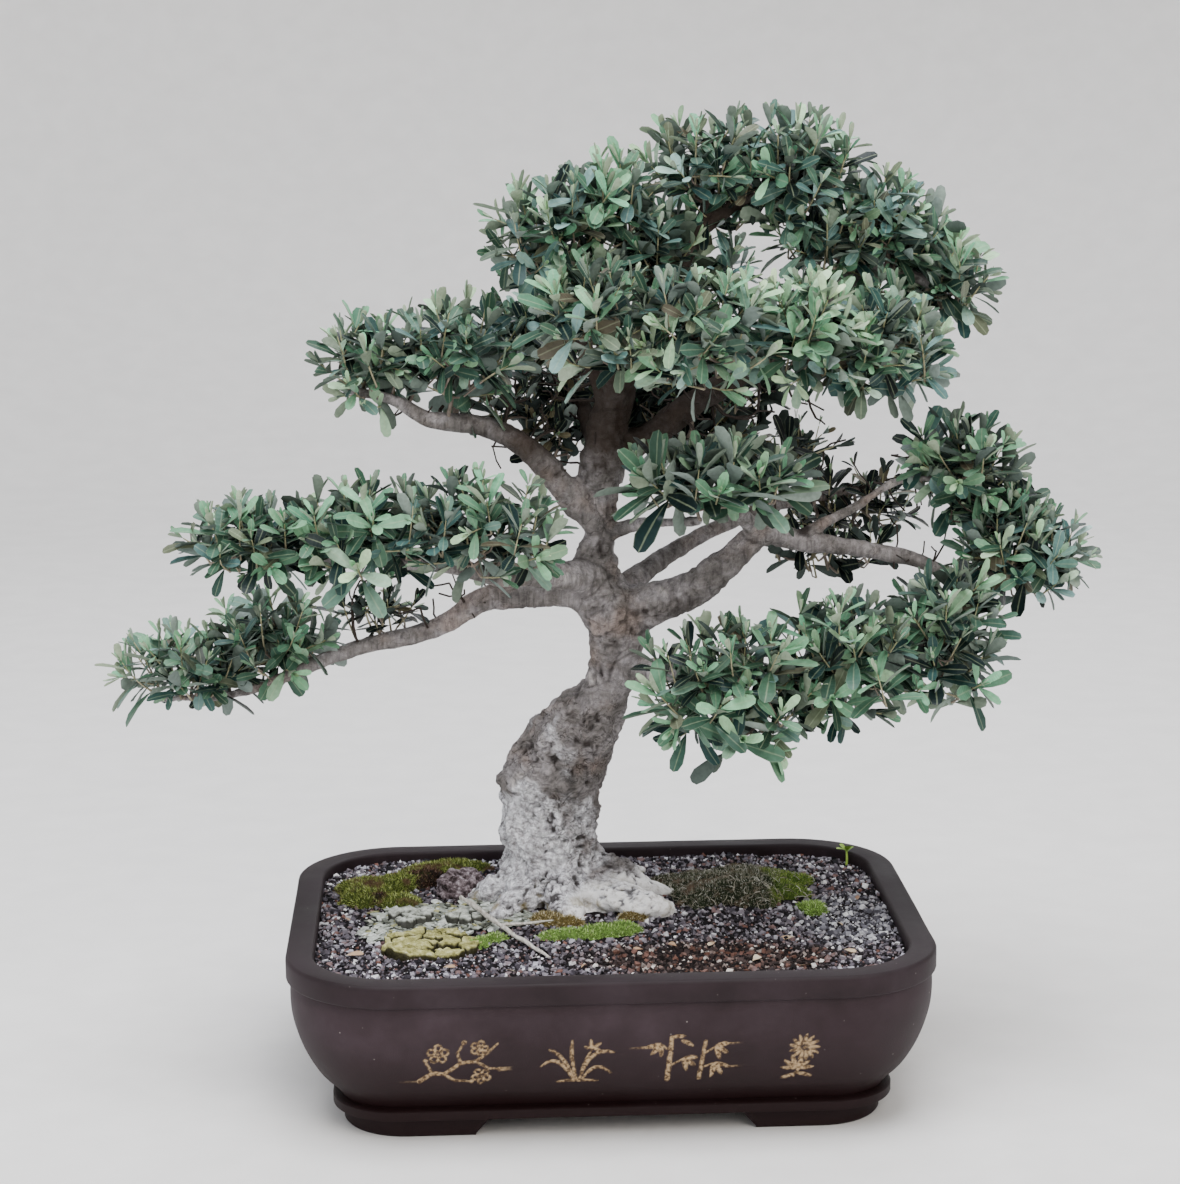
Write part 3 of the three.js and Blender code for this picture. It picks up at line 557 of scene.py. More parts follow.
def ornament_distance(points):
    """Distance of each point of the pot to its nearest stroke, where the point is near a sprig."""
    nearest = np.full(len(points), FAR)
    for (x, z), strokes in zip(ORNAMENT_AT, (plum, orchid, bamboo, chrysanthemum)):
        u, v = points[:, 0] - x, points[:, 2] - z
        near = (points[:, 1] < -90) & (abs(u) < 28) & (abs(v) < 19)
        nearest[near] = distance_to_strokes(u[near], v[near], strokes)
    return nearest


# %% Cutting the feet, the drain holes and the ornament
GROOVE_DEPTH = 0.9


def box_cutter(name, rows):
    """A closed bar from its cross-section rows, each a rectangle of four corners."""
    points, faces = loft(rows, np.mean(rows[0], 0), np.mean(rows[-1], 0))
    return mesh_object(name, points, faces, smooth=False)


def boolean(piece, other, operation):
    step = piece.modifiers.new("cut", "BOOLEAN")
    step.object, step.operation, step.solver = other, operation, "MANIFOLD"
    keep_result(piece)
    bpy.data.objects.remove(other)


pot = mesh_object("stoneware_pot", *pot_skin)


def feet_block(name, *sizes):
    """A closed block under the pot, from its rings' insets and heights."""
    length, depth, even = FEET_LENGTH / 2, FEET_DEPTH / 2, np.linspace(-1, 1, 17)
    rings = [rounded_ring(length - i, depth - i, FEET_CORNER - i, z, even) for i, z in sizes]
    return mesh_object(name, *loft(rings, (0, 0, sizes[0][1]), (0, 0, sizes[-1][1])))


feet = feet_block("feet", (1.2, 0), (0, 1.4), (0, 14.5))
boolean(feet, feet_block("hollow", (FOOT_THICKNESS, -2), (FOOT_THICKNESS, 16)), "DIFFERENCE")
for low, high, reach, turn in ((86, 76, 160, 0), (56, 46, 210, 90)):
    # a bar with leaning sides, so that a foot is longer where it meets the ledge
    section = [(-low, -1), (low, -1), (low - 1, 2), (high + 2, 10), (high - 1, 13), (high - 2, 17)]
    section += [(-x, z) for x, z in section[:1:-1]]
    rows = [[(x, y, z) for x, z in section] for y in (reach, -reach)]
    spin = np.array(Matrix.Rotation(radians(turn), 3, "Z"))
    boolean(feet, box_cutter("gap", np.array(rows) @ spin.T), "DIFFERENCE")
boolean(pot, feet, "UNION")
for side in (-95, 95):
    circle = [(side + 9 * cos(a), 9 * sin(a)) for a in around(32)]
    boolean(pot, box_cutter("drain", [[(x, y, z) for x, y in circle] for z in (5, 30)]), "DIFFERENCE")
points, _ = points_of(pot)
edge = ornament_distance(points)
points[:, 1] += GROOVE_DEPTH * smoothstep(0.55, -0.7, edge)
# a hand-pressed wall is never quite true: slow waves of about a third of a millimetre
wave = value_noise(points * (1, 1, 0.6), 55) * 0.35 * smoothstep(2, 16, points[:, 2])
away = points[:, :2] / norm(points[:, :2] + 1e-9, axis=1)[:, None]
points[:, :2] += away * np.minimum(wave, 0)[:, None]
set_points(pot, points)
set_attribute(pot, "gilt", smoothstep(0.3, -0.3, edge))
pot.data.set_sharp_from_angle(angle=radians(38))

# %% [markdown]
# ## Unglazed stoneware
# Dark iron-rich clay, fired without a glaze and rubbed: a brown that leans to purple, smooth but
# not shiny, with a fine grain, paler where hands and hard water reach. Towards the foot it is painted
# darker and redder, painted shade with a painted red reflection, and the rim band and its flat top
# are painted darker, painted shade. Rough plastics look alike from far off, so three things tell
# clay: slow blotches of 30 to 60 mm, a grain of about 0.8 mm, and a pale bloom of lime on the rim
# and in the specks that splash up when the tree is watered. Gold powder in the grooves is half worn off.

# %% Stoneware with worn gilding
stoneware, node, shader, place = new_material("unglazed_stoneware", 0.5, 0.15)
blotch = node("TexNoise", [place, per_metre(45), 4, 0.6])
clay = node("ValToRGB", [blotch], stops=[(0.3, "#271C1F"), (0.55, "#32272B"), (0.75, "#3E3338")])
height = node("SeparateXYZ", [place])
# painted shade with a painted red reflection: darker and redder towards the foot
lower = node("MapRange", [height.outputs["Z"], 0.02, 0.088, 0.9, 0.0], interpolation_type="SMOOTHSTEP")
foot_shade_and_reflection = node("Mix", [lower, clay, "#170707"], **COLOURS)
top = node("MapRange", [height.outputs["Z"], 0.1045, 0.1068, 0.0, 0.06])
scuff = node("TexNoise", [place, per_metre(14), 5, 0.7])
dusty = node("Math", [top, scuff], operation="MULTIPLY")
bloom = node("Mix", [dusty, foot_shade_and_reflection, "#8B7F7C"], **COLOURS)
spots = node("TexVoronoi", {"Vector": place, "Scale": per_metre(9)})
speck = node("MapRange", [spots.outputs["Distance"], 0.03, 0.07, 0.55, 0.0])
some = node("MapRange", [scuff, 0.5, 0.62])
splash = node("Math", [speck, some], operation="MULTIPLY")
limed = node("Mix", [splash, bloom, "#B5ACA8"], **COLOURS)
gilt = node("Attribute", attribute_name="gilt")
wear = node("TexNoise", [place, per_metre(2.2), 3])
left = node("MapRange", [wear, 0.36, 0.5, 0.35, 1.0])
gold = node("Math", [gilt, left], operation="MULTIPLY")
gold_tone = node("ValToRGB", [wear], stops=[(0.4, "#6E573B"), (0.62, "#AC9472")])
surface = node("Mix", [gold, limed, gold_tone], **COLOURS)
# the rim band and its flat top are painted darker than the belly: painted shade
rim_shade = node("ValToRGB", [node("MapRange", [height.outputs["Z"], 0.09, 0.108])],
             stops=[(0.12, 1.0), (0.2, 0.72), (0.78, 0.72), (0.92, 0.5)])
surface = node("Mix", [1.0, surface, rim_shade], **COLOURS, blend_type="MULTIPLY")
rough = node("MapRange", [blotch, 0.3, 0.7, 0.5, 0.66])
fine_grain = node("TexNoise", [place, per_metre(0.9), 2])
relief = node("Bump", {"Height": fine_grain, "Distance": 0.0003, "Strength": 0.35})
dress(shader, Base_Color=surface, Roughness=rough, Normal=relief)
finish_piece(pot, ["pot"], stoneware)

# %% [markdown]
# ## The wood's skeleton
# An olive of this age has a short swollen trunk with knobs, folds and old wounds below, and
# smoother wrinkled bark above. Its skeleton is a list of rings for the trunk and a list of
# points with radii for each limb; both are the measured lines of the solid model.

# %% Trunk, limbs and swellings
TRUNK = [  # x, y, z, width
    (-18, 43, 92, 98), (-19, 43, 99, 92), (-22, 44, 106, 84), (-27, 46, 114, 76), (-30, 48, 123, 70),
    (-29, 47, 132, 66), (-32, 46, 145, 68), (-32, 44, 157, 69), (-32, 43, 169, 69), (-31, 41, 181, 71),
    (-27, 39, 194, 70), (-21, 37, 208, 68), (-14, 34, 222, 62), (-6, 31, 236, 53), (6, 29, 249, 40),
    (9, 27, 263, 38), (11, 25, 276, 42), (9, 24, 290, 50), (3, 22, 303, 52), (-2, 21, 317, 40),
    (-4, 20, 332, 33), (0, 18, 349, 25), (0, 16, 369, 27), (0, 14, 388, 30)]
SMOOTH_BARK_FROM = 236
BURLS = [  # x, y, z, reach, height
    (-49, 14, 189, 11, 4), (-66, 36, 187, 12, 3), (-66, 38, 154, 14, 3), (-62, 34, 139, 13, 4),
    (-8, 12, 208, 13, 3), (4, 36, 162, 12, 3), (-70, 28, 122, 16, 12), (-78, 20, 106, 18, 14),
    (-36, 2, 128, 14, 8), (-44, -6, 106, 20, 18), (-10, 6, 132, 12, 8), (-8, -6, 106, 18, 20),
    (14, 18, 120, 15, 14), (34, 26, 104, 20, 18), (26, -6, 103, 22, 26), (-70, 66, 106, 20, 14),
    (-24, 94, 106, 22, 12), (24, 74, 106, 20, 14)]
LICHEN_PATCHES = [(-44, 158, 16), (-50, 182, 8), (-58, 122, 22), (-30, 112, 20), (-24, 134, 9),
    (-62, 104, 20)]
EYE_RIPPLE = 6.5  # between the rings round a knot
KNOT_EYES = [(-10, 195, 11), (-44, 180, 9), (-18, 178, 7), (-38, 158, 8), (-14, 138, 9), (-40, 118, 10),
    (-8, 222, 6)]
LIMBS = {  # x, y, z, radius
    "left_low": [(-2, 22, 311, 15), (-26, 22, 312, 13), (-51, 20, 310, 10.8), (-76, 20, 305, 8),
        (-104, 20, 288, 6.6), (-134, 18, 279, 5.7), (-166, 16, 274, 5), (-196, 14, 261, 3.9),
        (-228, 12, 250, 3.2), (-284, 10, 246, 2)],
    "left_mid": [(-2, 18, 321, 11), (-14, 8, 322, 10.5), (-36, -10, 325, 8.1), (-65, -25, 329, 6.2),
        (-101, -35, 338, 4.9), (-148, -43, 343, 3.7), (-222, -45, 348, 2.4)],
    "left_upper": [(0, 17, 354, 11), (-21, 10, 376, 9.4), (-38, 5, 395, 8.2), (-59, 0, 413, 7.2),
        (-81, 0, 420, 6.6), (-106, -4, 424, 5.6), (-130, -6, 437, 3.8), (-155, -6, 443, 2.8)],
    "right_main": [(12, 23, 290, 17), (34, 15, 303, 14), (56, 5, 312, 12), (71, 0, 326, 10.4),
        (90, 0, 341, 9), (106, 2, 349, 8), (126, 8, 342, 6.8), (165, 12, 336, 5.6), (203, 12, 326, 5),
        (230, 4, 319, 4.2), (282, -8, 330, 2.6)],
    "right_fork": [(100, 2, 346, 7.4), (85, -20, 364, 5), (73, -40, 377, 3.6)],
    "thin_fork": [(3, 16, 347, 6), (30, -10, 359, 3.5), (58, -40, 364, 3.1)],
    "right_upper": [(120, 6, 343, 4.4), (159, 20, 359, 3.2), (191, 20, 378, 2.6), (227, 10, 379, 2)],
    "leader": [(0, 15, 380, 15), (3, 10, 408, 12.7), (9, 10, 433, 11.4), (19, 5, 464, 9.5),
        (31, 0, 496, 8.2), (49, 0, 520, 6.9), (62, 0, 544, 5), (68, 4, 562, 3)],
    "leader_end": [(58, 0, 536, 5), (84, 4, 554, 4), (108, 8, 566, 3.2), (126, 10, 574, 2.4)],
    "leader_left": [(7, 10, 424, 8), (-4, 6, 452, 5.6), (-14, 2, 482, 4.4), (-28, -3, 518, 3)],
    "leader_right": [(4, 13, 397, 12), (32, 20, 409, 9.6), (64, 25, 430, 8.3), (101, 20, 456, 7),
        (138, 15, 493, 5.7), (175, 10, 512, 4.4), (212, 5, 501, 3.3)],
    "low_front": [(10, 25, 257, 10), (50, -20, 265, 7), (84, -52, 270, 5.6), (116, -62, 275, 4.8),
        (150, -54, 280, 4), (208, -37, 285, 2.6)],
    "low_back": [(8, 28, 302, 11), (24, 42, 314, 7.5), (60, 62, 332, 5.8), (104, 76, 350, 4.6),
        (176, 95, 361, 2.8)],
    "back_centre": [(0, 20, 362, 9), (6, 42, 384, 5.5), (20, 66, 402, 4.2), (34, 84, 416, 3)],
    "back_left": [(0, 14, 402, 8), (-14, 46, 434, 5), (-28, 78, 456, 3.8), (-36, 94, 464, 2.8)],
    "back_top": [(12, 10, 440, 8), (34, 46, 466, 4.8), (50, 84, 488, 3.8), (60, 106, 498, 2.8)],
    "back_right": [(92, 21, 450, 6.2), (122, 56, 460, 4.6), (150, 86, 466, 3.6), (172, 102, 468, 2.8)],
    "heart_left": [(8, 10, 430, 7), (2, -18, 458, 4.6), (-3, -48, 484, 3.2)],
    "heart_mid": [(17, 6, 458, 7), (36, -30, 470, 4.6), (54, -62, 480, 3.2)],
    "heart_right": [(98, 20, 454, 6), (110, -12, 468, 4.4), (118, -44, 480, 3.2)],
    "heart_far": [(134, 15, 489, 5), (156, -8, 482, 3.8), (175, -26, 474, 2.8)],
}
ROOTS = [  # old surface roots: x, y, z, radius, from the trunk outwards
    [(-12, 26, 112, 15), (10, 8, 111, 14), (28, -2, 108, 12), (44, 1, 103, 7)],
    [(0, 40, 124, 12), (16, 36, 118, 10), (32, 36, 108, 8), (48, 40, 102, 5)],
    [(-30, 20, 114, 15), (-24, -2, 107, 11), (-18, -16, 101, 6)],
    [(-46, 24, 114, 15), (-60, 6, 107, 11), (-70, -4, 101, 6)],
    [(-56, 40, 112, 14), (-76, 34, 106, 10), (-88, 34, 101, 5)],
    [(-40, 76, 112, 14), (-54, 92, 105, 9), (-64, 100, 100, 5)],
    [(0, 74, 110, 13), (18, 88, 104, 9), (30, 96, 100, 5)]]


def densify(points, step):
    """A smooth path through points, about one every step; all columns are carried along."""
    points = np.asarray(points, float)
    length = norm(np.diff(points[:, :3], axis=0), axis=1).sum()
    dense = smooth_curve(points, 12)
    run = run_along(dense[:, :3])
    at = np.linspace(0, run[-1], max(3, int(length / step) + 1))
    return np.column_stack([np.interp(at, run, column) for column in dense.T])


def unit(v):
    return v / np.maximum(norm(v, axis=-1, keepdims=True), 1e-9)


def tube(path, sides, flat=1.0):
    """A closed tube along points with radii, its rings carried along without twisting."""
    centre, radius = path[:, :3], path[:, 3]
    along = unit(np.gradient(centre, axis=0))
    side = np.cross(along[0], (0, 0, 1.0) if abs(along[0][2]) < 0.9 else (1.0, 0, 0))
    a = around(sides)[:, None]
    rings = []
    for c, r, t in zip(centre, radius, along):
        side = unit(side - t * np.dot(side, t))
        over = np.cross(t, side)
        ring = r * (np.cos(a) * side + np.sin(a) * over)
        ring[:, 2] *= flat
        rings.append(c + ring)
    return loft(rings, centre[0] - along[0] * radius[0] * 0.4, centre[-1] + along[-1] * radius[-1] * 0.4)


# %% The trunk's skin, with its knobs and burls
def trunk_skin(sides=84):
    rings = []
    a = around(sides)
    facing = np.column_stack([np.cos(a), np.sin(a), np.zeros(sides)])
    for x, y, z, width in smooth_curve(TRUNK, 6):
        ring = np.array([x, y, z]) + facing * (1, 0.9, 1) * (width / 2 - 3)
        fade = smoothstep(SMOOTH_BARK_FROM - 14, SMOOTH_BARK_FROM + 8, z)
        out = 4 * (1 - 0.75 * fade) * value_noise(ring, 13)
        for bx, by, bz, reach, height in BURLS:
            d = norm(ring - (bx, by, bz), axis=1) / reach
            out += height * (0.45 if bz < 125 else 1) * np.exp(-d * d * 1.6)
        rings.append(ring + facing * out[:, None])
    return loft(rings, np.mean(rings[0], 0) - (0, 0, 2), np.mean(rings[-1], 0) + (0, 0, 4))


def wander(path, sway, size):
    """Moves a path's inner points a little to and fro, as real limbs never run smooth."""
    moved = path.copy()
    ends = np.sin(np.linspace(0, pi, len(path))) ** 0.5
    for axis in range(3):
        moved[:, axis] += sway * ends * value_noise(path[:, :3] + 57.3 * axis, size)
    return moved


# %% [markdown]
# ## Growing the wood together
# Real limbs swell where they leave the trunk and flow into it. Separate tubes would meet in hard
# creases, so trunk, roots and limbs are laid over each other and remeshed with small voxels,
# which melts them into one closed skin. The bark is then pushed in and out along the normals:
# knobs and pits on the old wood, rings and shallow folds on the younger wood, and less of
# everything as a limb gets thinner.

# %% One skin for trunk, roots and limbs
VOXEL = 1.8
paths = {name: wander(densify(points, 4), 1.6, 26) for name, points in LIMBS.items()}
skins = [trunk_skin()]
skins += [tube(path, 14) for path in paths.values()]
skins += [tube(wander(densify(root, 3), 2.0, 14), 18, flat=0.72) for root in ROOTS]
wood = mesh_object("tree_bark", *join_skins(skins))
remesh = wood.modifiers.new("melt", "REMESH")
remesh.mode, remesh.voxel_size = "VOXEL", VOXEL * MM
keep_result(wood)
soften = wood.modifiers.new("soften", "SMOOTH")
soften.factor, soften.iterations = 0.5, 3
keep_result(wood)

skeleton = [np.column_stack([path, run_along(path[:, :3])]) for path in paths.values()]
skeleton = np.vstack(skeleton + [smooth_curve([(x, y, z, w / 2, z) for x, y, z, w in TRUNK], 4)])


def nearest_rows(points, rows):
    """For each point, the nearest of the skeleton's rows."""
    return np.concatenate([np.argmin(
        ((part[:, None, :] - rows[None, :, :3]) ** 2).sum(-1) / (rows[None, :, 3] + 4), axis=1)
        for part in np.array_split(points, max(1, len(points) // 4000))])


points, normals = points_of(wood)
x, y, z = points.T
near = skeleton[nearest_rows(points, skeleton)]
old = 1 - smoothstep(SMOOTH_BARK_FROM - 16, SMOOTH_BARK_FROM + 22, z)
stout = smoothstep(1.5, 16, near[:, 3])

warped = points + 6.0 * np.column_stack([value_noise(points + 70 * n, 15) for n in (1, 2, 3)])
warped += 2.2 * np.column_stack([value_noise(points + 50 * n, 5.5) for n in (1, 2, 3)])
first, second = cells(warped * (1, 1, 0.8), 15)
small_first, _ = cells(warped * (1, 1, 1.2) + 5.0, 7)
small_knots = 2.4 * (0.5 - small_first) * smoothstep(-0.5, 0.3, layered_noise(points + 200, 24))
knots = 3.2 * (0.5 - first) + small_knots
ridges = 1 - 2.6 * np.abs(layered_noise(points + 33, 8.5))
pits = smoothstep(0.34, 0.66, layered_noise(warped * (1, 1, 1.5) + 90, 5, 2))
torn = smoothstep(-0.3, 0.3, layered_noise(points + 60, 17))
crack = smoothstep(0.10, 0.0, second - first) * torn
for shift, size, region, low, high in ((140, 12, (120, 15), -0.1, 0.4), (240, 8, (320, 18), -0.2, 0.3)):
    line = smoothstep(0.2, 0.03, np.abs(layered_noise(warped + shift, size, 2)))
    crack = np.maximum(crack, line * smoothstep(low, high, layered_noise(points + region[0], region[1])))
fine_relief = 0.9 * ridges + 1.1 * layered_noise(points + 8, 4.2, 2) - 1.3 * pits - 1.8 * crack
for eye_x, eye_z, reach in KNOT_EYES:
    d = np.hypot(warped[:, 0] - eye_x, (warped[:, 2] - eye_z) * 0.8)
    fine_relief += 1.7 * np.exp(-(d / reach) ** 2) * (y < near[:, 1]) * np.cos(d * 2 * pi / EYE_RIPPLE)
old_bark = knots + 2.0 * layered_noise(points, 21) + fine_relief

rings_at = np.column_stack([near[:, 4], x * 0.22, y * 0.22 + z * 0.1])
wrinkle = value_noise(rings_at * (1, 2, 2), 3.6) * 0.35 + value_noise(rings_at * (1, 2, 2) + 40, 9) * 0.4
folds = layered_noise(points, 11) * 2.3 + layered_noise(points + 12, 4.2, 2) * 1.2
eyes = smoothstep(0.45, 0.75, layered_noise(points + 300, 13, 2))
young_bark = (wrinkle + folds - 1.2 * eyes - 1.1 * crack * stout) * (0.25 + 0.75 * stout)
root = smoothstep(127, 111, z) * smoothstep(-34, 4, x - 0.4 * y)
push = old * old_bark * (1 - 0.35 * root) + (1 - old) * young_bark
foot = smoothstep(99, 92, z)  # under the soil the skin stays plain
set_points(wood, points + normals * (push * (1 - foot))[:, None])
wood.data.polygons.foreach_set("use_smooth", [True] * len(wood.data.polygons))

low = smoothstep(232, 138, z)
# how deep each spot lies in a crack or pit, which the bark's colour paints dark as painted shade
crevice = np.clip(old * smoothstep(-0.4, -2.9, fine_relief)
                  + (1 - old) * (0.8 * eyes + 0.45 * smoothstep(-0.4, -2.0, folds) + 0.6 * crack * stout)
                  + 0.6 * crack * smoothstep(150, 116, z), 0, 1)
pale_left = smoothstep(12, -38, x - near[:, 0] + 0.5 * (y - near[:, 1]))
patches = sum(np.exp(-(((x - px) ** 2 + (z - pz) ** 2) / reach ** 2)) for px, pz, reach in LICHEN_PATCHES)
lichen = layered_noise(points + 150, 24) + 0.95 * low * (0.45 + 0.55 * pale_left) + 0.9 * patches - 0.28
lichen -= 0.34 * smoothstep(134, 108, z)
lichen = smoothstep(0.08, 0.5, lichen)
# painted shade of the crown: high in the crown's core the wood is painted dark brown
sheltered = smoothstep(376, 408, z) * smoothstep(120, 64, np.abs(x - 24))
for name, values in {
        "crevice": crevice * (1 - 0.5 * root), "lichen": np.maximum(lichen * old, 1.8 * root), "old": old,
        "scoured": root * (1 - crevice), "sheltered": sheltered}.items():
    set_attribute(wood, name, values)
set_attribute(wood, "around", rings_at * MM, "FLOAT_VECTOR")

# %% [markdown]
# ## Olive bark
# Olive bark is a warm grey, with a crust of bluish white lichen where the trunk is low and faces
# the light, tan stains here and there, and a root at the right front that rain and grit have
# scoured to bone-white wood. Its cracks and pits, and thin creases drawn in the colour, are painted
# almost black: painted shade. High under the crown the wood is painted dark brown, painted shade of
# the crown, and a little ochre algae grows just above the soil. One even bark colour would look like
# plastic, so the mesh carries how deep, how crusted, how old and how shaded by the crown each spot
# is, and the colours follow the relief. Only grain under 3 mm is left to the bump.

# %% Bark
bark, node, shader, place = new_material("olive_bark", 0.88, 0.2)
crevice_at, lichen_at, old_at, scoured, sheltered = (
    node("Attribute", attribute_name=name)
    for name in ("crevice", "lichen", "old", "scoured", "sheltered"))
rings_place = node("Attribute", attribute_name="around").outputs["Vector"]
broad = node("TexNoise", [place, per_metre(22), 5, 0.65])
bark_tone = node("ValToRGB", [broad], stops=[(0.3, "#5A5654"), (0.45, "#7A7573"), (0.58, "#979293"),
    (0.72, "#B4AEAA")])
stain = node("TexNoise", [place, per_metre(34), 5])
rusty = node("MapRange", [stain, 0.54, 0.68, 0.0, 0.6])
warm = node("Mix", [rusty, bark_tone, "#94837A"], **COLOURS)
fleck = node("TexNoise", [place, per_metre(4), 5, 0.72])
lichen_tone = node("ValToRGB", [fleck], stops=[(0.3, "#949298"), (0.45, "#D0CFD5"), (0.65, "#F5F6F9")])
patchy = node("MapRange", [fleck, 0.36, 0.54, 0.25, 1.0])
crust_amount = node("Math", [lichen_at, patchy], operation="MULTIPLY", use_clamp=True)
crusted = node("Mix", [crust_amount, warm, lichen_tone], **COLOURS)
ochre_spot = node("TexNoise", [place, per_metre(15), 4])
ochre_at = node("MapRange", [ochre_spot, 0.54, 0.62, 0.0, 0.75])
low_part = node("SeparateXYZ", [place])
near_soil = node("MapRange", [low_part.outputs["Z"], 0.103, 0.122, 1.0, 0.0])
ochre = node("Math", [ochre_at, near_soil], operation="MULTIPLY")
# painted shade: cracks and pits are painted nearly black
deep = node("MapRange", [crevice_at, 0.1, 0.8, 0.0, 0.9])
# painted shade in thin dark creases that the colour draws where no crack is cut
crease = node("TexNoise", {"Vector": place, "Scale": per_metre(9), "Detail": 3, "Distortion": 0.9})
crease = node("Math", [crease, 0.5], operation="SUBTRACT")
crease = node("Math", [crease], operation="ABSOLUTE")
crease = node("MapRange", [crease, 0.004, 0.022, 0.75, 0.0])
here = node("MapRange", [stain, 0.42, 0.52])
crease = node("Math", [crease, here], operation="MULTIPLY")
crease = node("Math", [crease, node("MapRange", [old_at, 0.0, 1.0, 0.5, 1.0])], operation="MULTIPLY")
deep = node("Math", [deep, crease], operation="MAXIMUM")
shaded = node("Mix", [deep, crusted, "#2A2321"], **COLOURS)
drift = node("TexNoise", [place, per_metre(12), 2])
drift = node("VectorMath", {0: drift.outputs["Color"], "Scale": 0.02}, operation="SCALE")
drifted = node("VectorMath", [place, drift], operation="ADD")
flow = node("Mapping", {"Vector": drifted, "Scale": (0.4, 0.4, 1.2)})
gritty = node("TexNoise", [flow, per_metre(2.4), 5, 0.68])
ringed = node("Mapping", {"Vector": rings_place, "Scale": (0.7, 2.2, 2.2)})
lines = node("TexNoise", [ringed, per_metre(2.2), 5, 0.66])
how_gritty = node("MapRange", [old_at, 0.0, 1.0, 0.3, 1.0])
grain = node("Mix", {0: how_gritty, 2: lines, 3: gritty})
worn = node("MapRange", [grain, 0.35, 0.61, 0.48, 1.27])
final = node("VectorMath", {0: shaded, "Scale": worn}, operation="SCALE")
scoured = node("MapRange", [scoured, 0.15, 0.55, 0.0, 0.94])
bare_wood = node("ValToRGB", [fleck], stops=[(0.32, "#B5B0AC"), (0.42, "#E6E4E1"), (0.5, "#FDFCFB")])
# painted shade of the crown
crown_shade_amount = node("MapRange", [sheltered, 0.0, 1.0, 0.0, 0.88])
for amount, tone in ((scoured, bare_wood), (crown_shade_amount, "#32271F"), (ochre, "#8E7F45")):
    final = node("Mix", [amount, final, tone], **COLOURS)
relief = node("Bump", {"Height": grain, "Distance": 0.0016, "Strength": 0.9})
dress(shader, Base_Color=final, Normal=relief)
finish_piece(wood, ["tree_wood"], bark)

# %% [markdown]
# ## One pair of olive leaves
# Olive leaves sit on the shoot in opposite pairs, each pair turned a quarter against the last.
# A leaf is leathery, widest past its middle, folded a little along its rib and bent back
# towards its tip. Thousands are needed, so each is a closed lens of only 32 triangles. Six
# pairs are made, from one still closed round the bud to one spread wide, and the shoots pick
# among them by age. One map runs across and along the blade for the rib and the pale margin.

# %% Leaf pairs, from closed to spread
LEAF_LENGTH = 21.5
LEAF_STATIONS = [  # along the blade, share of its half width
    (0.16, 0.30), (0.46, 0.80), (0.76, 1.0), (0.95, 0.64)]
PAIR_SHAPES = [  # opening from the shoot in degrees, bend back, half width, fold
    (10, -6, 0.145, 28), (20, 2, 0.165, 22), (31, 12, 0.180, 16), (42, 22, 0.188, 12), (54, 16, 0.185, 14),
    (68, 30, 0.178, 10)]


def leaf_skin(opening, bend, half_width, fold, turn):
    """One leaf of unit length that leaves the shoot's tip, +Z, towards +X; turn puts it elsewhere."""
    half_thickness = 0.013
    spine, angle, at = [], radians(opening), np.zeros(3)
    previous = 0.0
    for share in [s for s, _ in LEAF_STATIONS] + [1.0]:
        angle += radians(bend) * (share - previous)
        at = at + (share - previous) * np.array([sin(angle), 0, cos(angle)])
        spine.append((at, angle))
        previous = share
    points = [np.zeros(3)]
    for (at, angle), (share, wide) in zip(spine, LEAF_STATIONS):
        upper = np.array([-cos(angle), 0, sin(angle)])
        rise = sin(radians(fold)) * half_width * wide
        side = np.array([0, half_width * wide * cos(radians(fold)), 0])
        points += [at + side + upper * rise, at + upper * half_thickness * 0.4,
                   at - side + upper * rise, at - upper * half_thickness * 1.6]
    points.append(spine[-1][0])
    faces = []
    for n, m in ((0, 1), (1, 2), (2, 3), (3, 0)):
        faces.append([0, 1 + m, 1 + n])
        faces += [[a + n, a + m, a + m + 4, a + n + 4] for a in (1, 5, 9)]
        faces.append([13 + n, 13 + m, 17])
    spin = np.array(Matrix.Rotation(turn, 3, "Z"))
    return np.array(points) @ spin.T, faces


def leaf_object(name, leaves, unit_mm=1.0, shown=True):
    """Some leaves as one object with its leaf map; unit_mm is what their points are given in."""
    skins = [(points * unit_mm, faces) for points, faces in leaves]
    made = mesh_object(name, *join_skins(skins), shown=shown)
    # each leaf has 10 faces above and 10 below, and a map of each point across and along the blade
    set_attribute(made, "under", ([0.0] * 10 + [1.0] * 10) * len(leaves), domain="FACE")
    leaf_map = [(0.5, 0), *((across, s) for s, _ in LEAF_STATIONS for across in (1, 0.5, 0, 0.5)), (0.5, 1)]
    corners = [leaf_map[loop.vertex_index % 18] for loop in made.data.loops]
    made.data.uv_layers.new(name="leaf_map").data.foreach_set("uv", np.ravel(corners))
    ends = [{vertex % 18 for vertex in edge.vertices} for edge in made.data.edges]
    sharp = [0 not in e and {v % 4 for v in e} <= {1, 3} for e in ends]
    set_attribute(made, "sharp_edge", sharp, "BOOLEAN", "EDGE")
    return made


pair_templates = collect("leaf_pairs", [
    leaf_object(f"pair_{n}", [leaf_skin(opening, bend, half_width, fold, 0),
                              leaf_skin(opening * 1.12 + 3, bend * 0.7, half_width * 0.95, fold, pi)],
                1 / MM, shown=False)  # a metre long, scaled on each point
    for n, (opening, bend, half_width, fold) in enumerate(PAIR_SHAPES)])

# %% [markdown]
# ## The leaf's surface
# The upper side is a dull blue-green with a thin wax that gives it a satin light; the lower side
# is silvery with fine scales. The margin and the rib are paler. Young leaves at the shoot's tip
# are pale yellow-green, and a few old ones turn olive-brown. Age and a chance number come from
# the points that the leaves grow on, and the map on the blade places rib and margin.

